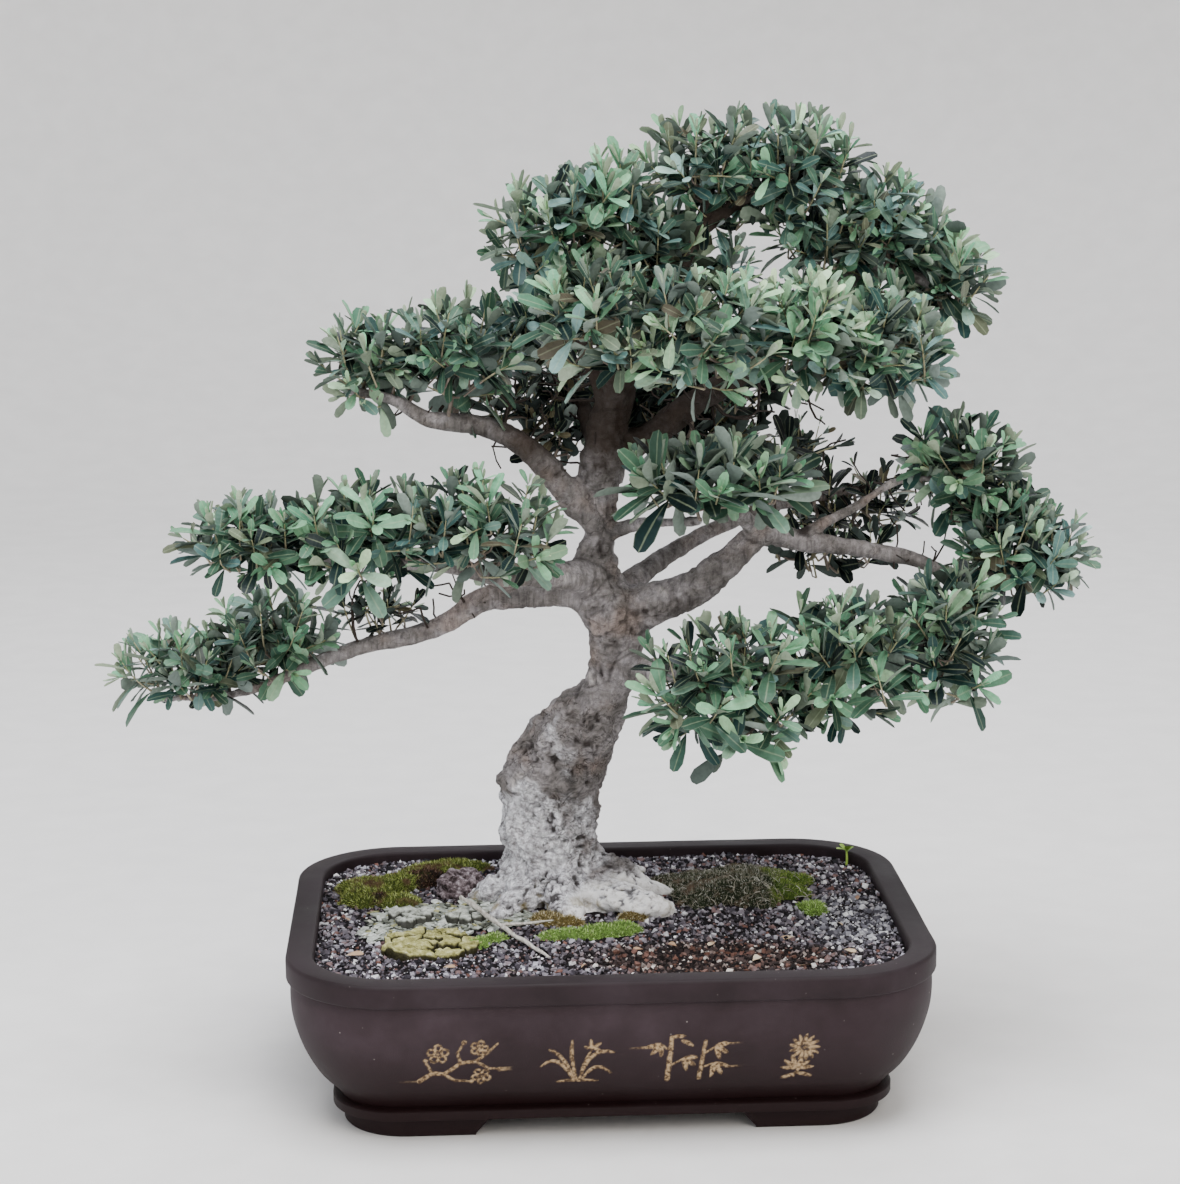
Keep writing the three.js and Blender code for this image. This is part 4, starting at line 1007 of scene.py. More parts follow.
# %% Leaf material
leaf_material, node, shader, place = new_material("waxed_olive_leaf", 0.42, 0.18)
age, chance, under = (node("Attribute", attribute_name=name) for name in ("age", "chance", "under"))
blade_map = node("SeparateXYZ", [node("UVMap", uv_map="leaf_map")])
young = node("ValToRGB", [chance], stops=[(0.0, "#66A482"), (0.5, "#8ABF94"), (0.9, "#C2DAAE")])
grown = node("ValToRGB", [chance], stops=[(0.0, "#03080A"), (0.34, "#0E1D1D"), (0.5, "#294543"),
    (0.53, "#524D3F"), (0.57, "#565244"), (0.6, "#3B5A57"), (0.7, "#4F6E6B"), (0.88, "#8AACA8"),
    (0.94, "#A1BCB8"), (1.0, "#6E6650")])
ages = node("Mix", [age, young, grown], **COLOURS)
from_rib = node("Math", [blade_map.outputs["X"], 0.5], operation="SUBTRACT")
from_rib = node("Math", [from_rib], operation="ABSOLUTE")
rib = node("MapRange", [from_rib, 0.02, 0.07, 0.28, 0.0])
margin = node("MapRange", [from_rib, 0.43, 0.5, 0.0, 0.22])
lines = node("Math", [rib, margin], operation="MAXIMUM")
ribbed = node("Mix", [lines, ages, "#A9B694"], **COLOURS)
# its dark end is painted shade for the leaves of lumps in deep shade
old_under = node("ValToRGB", [chance], stops=[(0.05, "#28312E"), (0.4, "#67756F"), (0.9, "#98A69F")])
silver = node("Mix", [age, "#A1B196", old_under], **COLOURS)
both = node("Mix", [under, ribbed, silver], **COLOURS)
final, _ = speckled(node, place, both, 3, 2, 0.86, 1.12)
satin = node("MapRange", [under, 0.0, 1.0, 0.36, 0.8])
veins = node("TexWave", {"Vector": node("UVMap", uv_map="leaf_map"), "Scale": 3.2, "Distortion": 1.5},
             bands_direction="Y")
relief = node("Bump", {"Height": veins.outputs["Color"], "Distance": 0.0002, "Strength": 0.25})
dress(shader, Base_Color=final, Roughness=satin, Normal=relief)

twig_material, node, shader, place = new_material("young_olive_twig", 0.75)
woody = node("Attribute", attribute_name="woody")
streak = node("TexNoise", [place, per_metre(5), 3])
green_twig = node("ValToRGB", [streak], stops=[(0.35, "#8E9268"), (0.65, "#B5B088")])
grey_twig = node("ValToRGB", [streak], stops=[(0.35, "#655A52"), (0.65, "#94877C")])
twig_tone = node("Mix", [woody, green_twig, grey_twig], **COLOURS)
shade = node("MapRange", [woody, 1.0, 2.0])
twig_tone = node("Mix", [shade, twig_tone, "#30251E"], **COLOURS)
relief = node("Bump", {"Height": streak, "Distance": 0.0004, "Strength": 0.5})
dress(shader, Base_Color=twig_tone, Normal=relief)

# %% [markdown]
# ## Where the shoots grow
# A clipped pad of leaves is a dome of short upright shoots on a fan of thin twigs. For each lump
# of a pad, shoots start spread over an ellipsoid, and each one leans outwards and then up towards
# the light. The twigs that feed them are found by joining each new shoot to the nearest piece of
# wood that is already there, so they branch as real ones do, and a twig is thicker the more
# shoots it carries.

# %% The pads, as lumps with a centre and half sizes at the leaf tips
# A third entry is the share of its leaves that a lump in deep shade has kept.
BUNCHES = {
    "left_low": [((-262, 12, 272), (58, 42, 32)), ((-208, 20, 286), (52, 46, 37)),
        ((-140, 24, 304), (40, 26, 18), 0.6)],
    "left_mid": [((-213, -45, 361), (56, 42, 33)), ((-144, -46, 364), (62, 48, 40)),
        ((-74, -52, 366), (62, 46, 43))],
    "left_upper": [((-145, 0, 462), (42, 40, 38)), ((-88, 2, 469), (52, 46, 43))],
    "top_left": [((-31, -5, 538), (52, 46, 42)), ((-8, -25, 506), (38, 34, 32))],
    "apex": [((68, 10, 574), (54, 48, 45)), ((120, 10, 575), (58, 50, 46)), ((6, -4, 558), (42, 38, 38)),
        ((34, 0, 530), (40, 36, 34)), ((140, 4, 538), (46, 38, 34))],
    "top_right": [((182, 16, 532), (52, 44, 42)), ((216, 10, 509), (41, 38, 37)),
        ((174, 8, 550), (38, 34, 34))],
    "heart": [((-4, -60, 492), (48, 38, 42)), ((58, -70, 484), (54, 40, 46)),
        ((34, -68, 473), (50, 34, 24))],
    "heart_right": [((120, -52, 484), (42, 38, 44)), ((174, -32, 473), (42, 40, 43)),
        ((150, -44, 468), (42, 36, 33)), ((190, -28, 472), (32, 30, 33))],
    "inner_centre": [((66, -58, 396), (64, 42, 25))],
    "right_shoulder": [((232, 20, 389), (50, 44, 37)), ((254, 8, 360), (36, 32, 26))],
    "right_tip": [((266, -5, 337), (53, 42, 40))],
    "low_right": [((72, -78, 268), (64, 48, 52)), ((146, -62, 281), (56, 48, 50)),
        ((212, -38, 289), (46, 44, 51))],
    "low_back": [((166, 95, 354), (60, 40, 36), 0.5), ((135, 80, 398), (36, 28, 26), 0.5),
        ((150, 56, 334), (56, 30, 20), 0.5)],
    "back_centre": [((32, 84, 424), (70, 36, 28))],
    "back_left": [((-36, 94, 470), (53, 38, 34)), ((-23, 48, 440), (40, 30, 28), 0.8),
        ((-52, 30, 434), (46, 26, 18), 0.75), ((-30, 30, 411), (34, 22, 24), 0.7)],
    "back_top": [((60, 106, 508), (58, 38, 36))],
    "back_right": [((172, 102, 474), (56, 38, 34))],
    "back_inner": [((100, 66, 400), (50, 34, 26), 0.5), ((78, 44, 438), (58, 30, 22), 0.75),
        ((28, 40, 430), (46, 26, 24), 0.75), ((64, 44, 414), (40, 24, 26), 0.65)],
}
# The third number is painted light and painted shade: it lightens or darkens a pad's leaf colours for how
# much light the pad gets.
HABIT = {  # leaf size, share of shoots with new growth and lightness, where they differ from the usual
    "inner_centre": (1.3, 0.3, 0.86), "right_shoulder": (1.12, 0.3, 0.85),
    "low_right": (1.08, 0.46, 0.86), "left_low": (0.94, 0.46, 0.85), "apex": (0.98, 0.3, 0.95),
    "right_tip": (1.0, 0.45, 1.0), "heart": (1.03, 0.52, 1.02), "heart_right": (1.03, 0.52, 1.02),
    "left_mid": (1.0, 0.4, 0.8), "left_upper": (1.0, 0.42, 0.82)}
USUAL_HABIT = (1.0, 0.38, 0.95)
BARE_TWIGS = [  # where old twigs have lost their leaves: centre, half sizes, how many ends
    ((4, 28, 424), (76, 34, 36), 120), ((90, 14, 440), (54, 30, 24), 60), ((168, 70, 366), (62, 42, 30), 60),
    ((-70, 12, 434), (60, 22, 18), 50), ((-120, 15, 308), (52, 26, 14), 22),
    ((215, 5, 342), (40, 24, 22), 24)]
SHOOT_AREA = 1090  # mm2 of a lump's surface for one shoot
LEAVES_REACH = 14  # the leaf tips stand this far past the last pair
ALL_LUMPS = np.array([[*lump[0], *lump[1]] for lumps in BUNCHES.values() for lump in lumps], float)


def lump_shoots(centre, half, random, kept=1.0):
    """Shoots of one lump, each as (foot, tip, outward direction, share of leaves kept)."""
    centre, half = np.array(centre, float), np.array(half, float)
    a, b, c = half
    area = 4 * pi * (((a * b) ** 1.6 + (a * c) ** 1.6 + (b * c) ** 1.6) / 3) ** 0.625
    made = []
    for layer, count in ((1.0, round(area / SHOOT_AREA)), (0.62, round(area / SHOOT_AREA * 0.3))):
        golden = pi * (3 - sqrt(5))
        turn = random.uniform(0, 6)
        for i in range(count):
            z = 1 - (2 * i + 1) / count
            # fewer shoots hang from the underside, more stand on the top
            z = z + 0.22 * (1 - z * z)
            flat = sqrt(max(0, 1 - z * z))
            out = np.array([flat * cos(i * golden + turn), flat * sin(i * golden + turn), z])
            out = unit(out + random.normal(0, 0.09, 3))
            inset = LEAVES_REACH * (1 if z > -0.3 else 0.6)
            tip = centre + out * (half * layer - inset) * random.uniform(0.86, 1.06)
            if np.sort(norm((tip - ALL_LUMPS[:, :3]) / ALL_LUMPS[:, 3:], axis=1))[1] < 0.6:
                continue  # deep inside a neighbouring lump, where nobody sees it
            normal = unit(out / half)
            if z < -0.1:
                normal = unit(normal * (1, 1, 0.15))  # the underside is clipped: nothing hangs down there
            lean = unit(normal * 0.6 + (0, 0, 0.75 if z > -0.1 else 0.3) + random.normal(0, 0.24, 3))
            length = random.uniform(20, 34) * (0.8 if z < -0.3 else 1.0)
            foot = tip - lean * length
            inward = (foot - centre) / half
            if norm(inward) > 0.9:
                foot = centre + inward * half * 0.8
            made.append((foot, tip, lean, kept))
    return made


# %% Twigs that join the shoots to the limbs
def twig_network(feet, random):
    """Polylines with radii from the limbs to all feet, found shoot by shoot."""
    middle = np.mean(feet, axis=0)
    reach = np.max(norm(feet - middle, axis=1)) + 25
    near = skeleton[norm(skeleton[:, :3] - middle, axis=1) < reach]
    if not len(near):
        near = skeleton[np.argsort(norm(skeleton[:, :3] - middle, axis=1))[:3]]
    spots = [p[:3] for p in near]
    parents = [-1] * len(spots)
    run = [0.0] * len(spots)
    order = np.argsort([np.min(norm(near[:, :3] - f, axis=1)) for f in feet])
    chains = []
    for n in order:
        foot = feet[n]
        cost = norm(np.array(spots) - foot, axis=1) + 0.45 * np.array(run)
        best = int(np.argmin(cost))
        start = spots[best]
        length = norm(foot - start)
        steps = max(2, int(length / 7))
        t = np.linspace(0, 1, steps + 1)[:, None]
        sway = random.normal(0, 0.05, 3) * length
        line = start + (foot - start) * t + np.sin(t * pi) * (sway - (0, 0, 0.06 * length))
        line[1:-1] += random.normal(0, 0.5, (steps - 1, 3))
        chain = [best]
        for p in line[1:]:
            spots.append(p)
            parents.append(chain[-1])
            run.append(run[best] + norm(p - start))
            chain.append(len(spots) - 1)
        chains.append(chain)
    load = np.zeros(len(spots))
    for chain in chains:
        i = chain[-1]
        while i >= 0:
            load[i] += 1
            i = parents[i]
    radius = 0.62 * np.maximum(load, 1) ** 0.4
    return [(np.array([spots[i] for i in chain]), radius[[chain[1]] + chain[1:]]) for chain in chains]


def shoot_line(foot, tip, lean, random):
    """A shoot as a bow from its foot to its tip, which ends growing along lean."""
    length = norm(tip - foot)
    pairs = max(3, int(round(length / 5.2)))
    t = np.linspace(0, 1, pairs + 1)[:, None]
    control = tip - lean * length * 0.5 + random.normal(0, 1.0, 3)
    return (1 - t) ** 2 * foot + 2 * t * (1 - t) * control + t ** 2 * tip


# %% [markdown]
# ## Two node trees for the shoots
# Leaf pairs repeat thousands of times along lines, which is what Geometry Nodes are for. The
# first tree turns twig lines into round closed stems of their own thickness. The second puts a
# leaf pair on each point, turned along the shoot's axis and spun by its place on the shoot. All
# chance is drawn before, from one fixed seed, so the tree looks the same each time.

# %% The tree of stems
def new_tree(name, **inputs):
    """A Geometry Nodes tree with named inputs, `add` for it, its inputs' sockets and its output."""
    tree = bpy.data.node_groups.new(name, "GeometryNodeTree")
    tree.interface.new_socket("Geometry", in_out="INPUT", socket_type="NodeSocketGeometry")
    tree.interface.new_socket("Geometry", in_out="OUTPUT", socket_type="NodeSocketGeometry")
    for label, kind in inputs.items():
        tree.interface.new_socket(label, in_out="INPUT", socket_type="NodeSocket" + kind)
    node = functools.partial(add, tree)
    return tree, node, node("NodeGroupInput").outputs, node("NodeGroupOutput")


def end_tree(node, end, geometry, material):
    """Every tree ends alike: its instances are made real and get their material."""
    whole = node("RealizeInstances", [geometry])
    dressed = node("SetMaterial", {"Geometry": whole, "Material": material})
    end.id_data.links.new(main_output(dressed), end.inputs[0])


def place_shapes(node, points, **settings):
    """Puts an instance on each point and stores a chance number that a material reads."""
    chance = node("RandomValue", {2: 0.0, 3: 1.0, "Seed": 6}, data_type="FLOAT")
    marked = node("StoreNamedAttribute", {"Geometry": points, "Name": "chance", "Value": chance},
                  data_type="FLOAT", domain="POINT")
    return node("InstanceOnPoints", {"Points": marked, **settings})


stem_tree, node, given, end = new_tree("twig_stems", Sides="Int", Bark="Material")
radius_at = node("InputNamedAttribute", {"Name": "radius"}, data_type="FLOAT")
lines = node("MeshToCurve", {"Mesh": given["Geometry"]})
thick = node("SetCurveRadius", {"Curve": lines, "Radius": radius_at})
round_section = node("CurvePrimitiveCircle", {"Resolution": given["Sides"], "Radius": 1.0})
stems = node("CurveToMesh", {"Curve": thick, "Profile Curve": round_section, "Fill Caps": True})
stem_tree.links.new(main_output(radius_at), stems.inputs["Scale"])
end_tree(node, end, stems, given["Bark"])

# %% The tree of leaf pairs
leaf_tree, node, given, end = new_tree("leaf_pairs", Length="Float", Pairs="Collection", Leaf="Material")
axis_at, spin_at, size_at, kind_at = (
    node("InputNamedAttribute", {"Name": name}, data_type=kind)
    for name, kind in (("axis", "FLOAT_VECTOR"), ("spin", "FLOAT"), ("size", "FLOAT"), ("kind", "INT")))
along_shoot = node("AlignRotationToVector", {"Vector": axis_at}, axis="Z")
quarter = node("AxisAngleToRotation", {"Axis": (0, 0, 1), "Angle": spin_at})
turned = node("RotateRotation", [along_shoot, quarter], rotation_space="LOCAL")
length = node("Math", [size_at, given["Length"]], operation="MULTIPLY")
choice = node("CollectionInfo", [given["Pairs"], True, True])
pairs = node("InstanceOnPoints", {
    "Points": given["Geometry"], "Instance": choice, "Pick Instance": True,
    "Instance Index": kind_at, "Rotation": turned, "Scale": length})
end_tree(node, end, pairs, given["Leaf"])

# %% Growing every bunch
random = np.random.default_rng(7)
stem_points, stem_edges, stem_radius, stem_woody = [], [], [], []


def add_stem(line, radius, woody):
    first = len(stem_points)
    stem_points.extend(line)
    stem_edges.extend((first + i, first + i + 1) for i in range(len(line) - 1))
    stem_radius.extend(radius)
    stem_woody.extend(woody)


leaf_count = 0
for name, lumps in BUNCHES.items():
    shoots = [s for centre, half, *kept in lumps for s in lump_shoots(centre, half, random, *kept)]
    leaf_size, flush_share, pad_painted_light_and_shade = HABIT.get(name, USUAL_HABIT)
    for line, radius in twig_network(np.array([s[0] for s in shoots]), random):
        add_stem(line, radius, np.ones(len(line)))
    rows = []
    for foot, tip, lean, kept in shoots:
        line = shoot_line(foot, tip, lean, random)
        last = len(line) - 1
        add_stem(line, np.linspace(0.75, 0.36, last + 1), np.linspace(0.7, 0, last + 1))
        heading = unit(np.gradient(line, axis=0))
        flush = kept == 1 and random.uniform() < flush_share  # new pale growth
        shoot_chance, shoot_spin = random.uniform(), random.uniform(0, pi)
        vigour = leaf_size * random.uniform(0.8, 1.2) * (0.7 + 0.3 * kept)
        for i in range(1, last + 1):
            back = last - i
            if random.uniform() > kept:
                continue
            axis = unit(heading[i] + random.normal(0, 0.2, 3))
            spin = shoot_spin + i * pi / 2 + random.normal(0, 0.2)
            size = vigour * random.uniform(0.84, 1.16) * (0.58, 0.84, 1.0, 1.06)[min(back, 3)]
            kind = int(np.clip(round(1.0 + back * 1.1 + random.normal(0, 0.7)), 0, 5))
            age = ((0.0, 0.15, 0.5, 0.85) if flush else (0.55, 0.85, 1.0, 1.0))[min(back, 3)]
            age = np.clip(age + random.normal(0, 0.08), 0, 1) if kept == 1 else 1.0
            # the pad's painted light and painted shade scale its leaf colours
            chance = (0.5 * shoot_chance + 0.5 * random.uniform()) * pad_painted_light_and_shade
            # painted shade: leaves in deep shade are painted darker, their undersides too, and some have
            # browned
            if kept < 1:  # leaves in deep shade are dark, and some have browned
                chance = 1.0 if chance > 0.62 else 0.4 * chance
            rows.append((line[i], axis, kind, spin, size, age, chance))
        spin = shoot_spin + (last + 1) * pi / 2
        rows.append((tip + lean * 0.6, lean, 0, spin, 0.38 * vigour, 0.05, shoot_chance))
    at, axis, kind, *others = zip(*rows)
    leaves = mesh_object("leaves_" + name, at)
    set_attribute(leaves, "axis", axis, "FLOAT_VECTOR")
    set_attribute(leaves, "kind", kind, "INT")
    for label, values in zip(("spin", "size", "age", "chance"), others):
        set_attribute(leaves, label, values)
    run_nodes(leaves, leaf_tree, Length=LEAF_LENGTH * MM, Pairs=pair_templates, Leaf=leaf_material)
    finish_piece(leaves, ["foliage_" + name])
    leaf_count += 2 * len(at)
for centre, half, count in BARE_TWIGS:
    ends = centre + random.uniform(-1, 1, (count, 3)) * half
    for line, radius in twig_network(ends, random):
        add_stem(line, np.maximum(radius * 0.9, 0.6), np.full(len(line), 2.0))
twigs = mesh_object("olive_twigs", stem_points, edges=stem_edges)
set_attribute(twigs, "radius", np.array(stem_radius) * MM)
set_attribute(twigs, "woody", stem_woody)
run_nodes(twigs, stem_tree, Sides=4, Bark=twig_material)
finish_piece(twigs)
print(leaf_count, "leaves")
remove_all(pair_templates)

# %% [markdown]
# ## The soil
# The tree grows in a mix of crushed lava, pumice and grit, a little higher round the trunk. A
# smooth brown sheet would never do: what the eye reads is thousands of single stones between
# 1.5 and 4 mm, purple-grey, black, rust and white. The ground itself is a fine closed body with
# small bumps in a very dark colour, the soil's own dark and painted shade for the gaps between the stones.

# %% Soil body
SOIL_LEVEL, SOIL_MOUND, RIM_LAND, GAP = 99, 5, 17, 0.35


def soil_height(x, y):
    flat = np.stack(np.broadcast_arrays(x, y), -1).astype(float)
    bump = ((flat[..., 0] + 12) / 95) ** 2 + ((flat[..., 1] - 34) / 70) ** 2
    at5 = np.concatenate([flat, np.full(flat.shape[:-1] + (1,), 5.0)], -1)
    at9 = np.concatenate([flat, np.full(flat.shape[:-1] + (1,), 9.0)], -1)
    return SOIL_LEVEL + SOIL_MOUND * np.exp(-bump) + 1.3 * value_noise(at5, 17) + 1.6 * value_noise(at9, 46)


def on_soil(x, y, lift=0.0):
    return np.array([x, y, float(soil_height(x, y)) + lift])


even = np.linspace(-1, 1, 29)
wall = [(inset + GAP, max(z, FLOOR_TOP + GAP)) for inset, z in reversed([tuple(p) for p in inside])]
wall += [(RIM_LAND + GAP, 93.0), (RIM_LAND + GAP, 97.0)]
soil_rings = [pot_ring(i, z, even, 14) for i, z in wall]
edge_ring = soil_rings[-1]
for share in np.linspace(1, 0.02, 50):
    ring = edge_ring * (share, share, 1)
    rough = 0.5 * value_noise(ring * (1, 1, 0), 3.1) * min(1, (1 - share) * 30)
    ring[:, 2] = soil_height(ring[:, 0], ring[:, 1]) + rough
    soil_rings.append(ring)
soil = mesh_object("soil_body", *loft(soil_rings, (0, 0, FLOOR_TOP + GAP), on_soil(0, 0)))

# %% [markdown]
# ## Stones on the soil
# Grit is a scatter, so Geometry Nodes place it: points are strewn over the top of the ground,
# kept apart, and each gets one of six angular stones, turned and scaled by chance. A crushed
# stone is a lump of six or eight corners and flat triangles, which is all that shows at this
# size. Every stone carries a chance number that the material turns into a kind of rock.

# %% Angular stones and the tree that strews them
def stone_object(name, seed):
    """An angular stone about one unit across."""
    chip = np.random.default_rng(seed)
    if seed % 2:
        points = np.array(list(itertools.product((-0.5, 0.5), repeat=3)))
        faces = [(0, 1, 3), (0, 3, 2), (4, 6, 7), (4, 7, 5), (0, 4, 5), (0, 5, 1), (2, 3, 7), (2, 7, 6),
            (0, 2, 6), (0, 6, 4), (1, 5, 7), (1, 7, 3)]
    else:
        points = np.vstack([np.eye(3), -np.eye(3)]) * 0.66
        faces = [(0, 1, 2), (1, 3, 2), (3, 4, 2), (4, 0, 2), (1, 0, 5), (3, 1, 5), (4, 3, 5), (0, 4, 5)]
    points = points * chip.uniform(0.75, 1.1, 3) + chip.uniform(-0.17, 0.17, points.shape)
    return mesh_object(name, points / MM, faces, smooth=False, shown=False)


stones = collect("stones", [stone_object(f"stone_{n}", 30 + n) for n in range(6)])

strew_tree, node, given, end = new_tree("strewn_stones", Spacing="Float", Density="Float", Smallest="Float",
    Largest="Float", Tilt="Float", Seed="Int", Stones="Collection", Rock="Material")
strewn_on = node("InputNamedAttribute", {"Name": "bare"}, data_type="FLOAT")
strewn = node("DistributePointsOnFaces", {
    "Mesh": given["Geometry"], "Distance Min": given["Spacing"], "Density Max": given["Density"],
    "Density Factor": strewn_on, "Seed": given["Seed"]}, distribute_method="POISSON")
least = node("VectorMath", {0: (-1, -1, 0), "Scale": given["Tilt"]}, operation="SCALE")
most = node("VectorMath", {0: least, "Scale": -1.0}, operation="SCALE")
most = node("VectorMath", [most, (0, 0, 6.28)], operation="ADD")
turn = node("RandomValue", {0: least, 1: most, "Seed": given["Seed"]}, data_type="FLOAT_VECTOR")
shape = node("RandomValue", {0: (0.7, 0.7, 0.55), 1: (1.2, 1.2, 1.0), "Seed": 3}, data_type="FLOAT_VECTOR")
big = node("RandomValue", {2: 0.0, 3: 1.0, "Seed": 4}, data_type="FLOAT")
rare = node("Math", [big, 2.2], operation="POWER")
across = node("MapRange", [rare, 0.0, 1.0, given["Smallest"], given["Largest"]])
scale = node("VectorMath", {0: shape, "Scale": across}, operation="SCALE")
choice = node("CollectionInfo", [given["Stones"], True, True])
picked = node("RandomValue", {4: 0, 5: 5, "Seed": 5}, data_type="INT")
placed = place_shapes(node, strewn, **{"Instance": choice, "Pick Instance": True, "Instance Index": picked,
                                       "Rotation": turn, "Scale": scale})
end_tree(node, end, placed, given["Rock"])

# %% Ground and grit materials
# a very dark ground: the soil's own colour and painted shade in the gaps between the stones
ground_material = mottled(
    "dark_soil_painted_gap_shade", 0.95, 2.2, 4, 0.7, [(0.3, "#0A0808"), (0.55, "#1D1819"), (0.75, "#463E40")],
    0.0012, 0.9, specular=0.1)

grit_material, node, shader, place = new_material("crushed_lava_and_pumice", 0.85, 0.2)
chance = node("Attribute", attribute_name="chance")
rock = node("ValToRGB", [chance], stops=[(0.0, "#0B0A0B"), (0.17, "#242227"), (0.36, "#534E56"),
    (0.6, "#827C84"), (0.72, "#714E44"), (0.77, "#8A858C"), (0.89, "#AAA8B2"), (1.0, "#F0EFF0")])
brown = node("ValToRGB", [chance], stops=[(0.0, "#120D0C"), (0.32, "#2A1F1B"), (0.62, "#46362F"),
    (0.8, "#6C4739"), (0.92, "#83776E"), (1.0, "#E4DCD2")])
pale = node("ValToRGB", [chance], stops=[(0.0, "#3A3840"), (0.3, "#66656E"), (0.6, "#9798A1"),
    (1.0, "#E2E3E6")])
ragged = node("TexNoise", [place, per_metre(13), 3])
mixed = rock
for other, middle, reach, inner, outer, most in (
        (brown, (0.062, -0.088, 0.1), (0.085, 0.036), 1.2, 1.55, 0.9),
        (pale, (0.157, -0.015, 0.1), (0.03, 0.055), 1.15, 1.6, 0.8)):
    spot = node("VectorMath", [place, middle], operation="SUBTRACT")
    spot = node("VectorMath", [spot, (1 / reach[0], 1 / reach[1], 0)], operation="MULTIPLY")
    spot = node("VectorMath", [spot], operation="LENGTH")
    edge = node("Math", [ragged, 0.9, spot], operation="MULTIPLY_ADD")
    mixed = node("Mix", [node("MapRange", [edge, inner, outer, most, 0.0]), mixed, other], **COLOURS)
dress(shader, Base_Color=speckled(node, place, mixed, 1.6, 3, 0.75, 1.2)[0])

# %% Strewing the grit
points, normals = points_of(soil)
bare = (points[:, 2] > 93) & (normals[:, 2] > 0.3)
COVERED = [  # by the trunk, mosses, crust and tuff: x, y, half sizes
    (-17, 42, 52, 44), (88, 42, 44, 33), (-12, -38, 27, 11), (-150, 56, 14, 18), (-100, 100, 17, 15),
    (-113, -52, 25, 23), (-91, 52, 14, 15)]
FLAKY = [(-104, -4, 44, 30), (-134, -20, 22, 20), (-66, -8, 26, 15), (-78, 26, 16, 14)]
finish_piece(soil, ["soil"], ground_material)


def in_one_of(ellipses, edge):
    """Which of the ground's points lie in an ellipse; the edge may be ragged."""
    return np.any([((points[:, 0] - x) / rx) ** 2 + ((points[:, 1] - y) / ry) ** 2 < edge
                   for x, y, rx, ry in ellipses], axis=0)


STONES_PER_M2 = 4.0e5


def strew(name, where, spacing, smallest, largest, tilt, seed, shapes, rock, lift=0.0):
    """Strews shapes of a collection over the part of the ground where `where` holds."""
    strewn = soil.copy()
    strewn.data = soil.data.copy()
    strewn.name = name
    show(strewn)
    set_attribute(strewn, "bare", where.astype(float))
    set_points(strewn, points + (0, 0, lift))
    run_nodes(strewn, strew_tree, Spacing=spacing * MM, Density=STONES_PER_M2, Smallest=smallest * MM,
        Largest=largest * MM, Tilt=tilt, Seed=seed, Stones=shapes, Rock=rock)
    finish_piece(strewn)


flaky = in_one_of(FLAKY, 1 + 0.35 * layered_noise(points * (1, 1, 0), 15))
gritty = bare & ~in_one_of(COVERED, 1) & ~flaky
strew("grit", gritty, 1.62, 1.2, 3.8, pi, 11, stones, grit_material)

# %% [markdown]
# ## Flakes of old lichen
# Left of the trunk the grit has grown over with grey-green lichen, which has dried, cracked and
# lifted in flakes of 3 to 9 mm. The same tree strews them, nearly flat, over a ragged patch of
# the ground, so they overlap and hide the grit below.

# %% Flakes
def flake_object(name, seed):
    """A thin six-cornered flake about one unit across, a little domed."""
    chip = np.random.default_rng(seed)
    a = np.arange(6) / 6 * 2 * pi + chip.uniform(-0.3, 0.3, 6)
    reach = chip.uniform(0.36, 0.6, 6)
    ring = np.column_stack([reach * np.cos(a), reach * np.sin(a), np.zeros(6)])
    low = ring * 0.8 - (0, 0, 0.17)
    points, faces = loft([low, ring + chip.uniform(-0.04, 0.04, (6, 3))], (0, 0, -0.17), (0.05, 0.03, 0.09))
    return mesh_object(name, points / MM, faces, smooth=False, shown=False)


flakes = collect("flakes", [flake_object(f"flake_{n}", 60 + n) for n in range(5)])
flake_material, node, shader, place = new_material("flaking_grey_lichen", 0.93, 0.15)
chance = node("Attribute", attribute_name="chance")
flake_tone = node("ValToRGB", [chance], stops=[(0.0, "#5A5C53"), (0.2, "#8D9288"), (0.45, "#B4BAAF"),
    (0.7, "#D0D5CE"), (0.84, "#E4E7E3"), (0.88, "#96966A"), (1.0, "#B8B484")])
final, noise = speckled(node, place, flake_tone, 2.4, 4, 0.6, 1.2)
relief = node("Bump", {"Height": noise, "Distance": 0.0008, "Strength": 0.8})
dress(shader, Base_Color=final, Normal=relief)

strew("lichen_flakes", flaky & bare, 1.95, 3.2, 9.0, 0.42, 21, flakes, flake_material, lift=1.6)
remove_all(flakes)

# %% [markdown]
# ## Moss
# Moss is a cushion of upright shoots a millimetre or two high. The cushion is a low dome with
# its edge let into the soil, and over it the nodes strew tapering spikes of four triangles,
# leaning every way. Fur made of hairs would do as well, but it has no closed mesh. Bright moss
# is young and wet and dark moss has dried, so each spike's chance number picks its shade.
# Between the mosses lie a cushion that has died brown, a low green one and three ochre tufts.
# The spikes are drawn a little coarser than life so that they show.

# %% Cushions with a strewn pile
DOME_BUMPS = 0.35


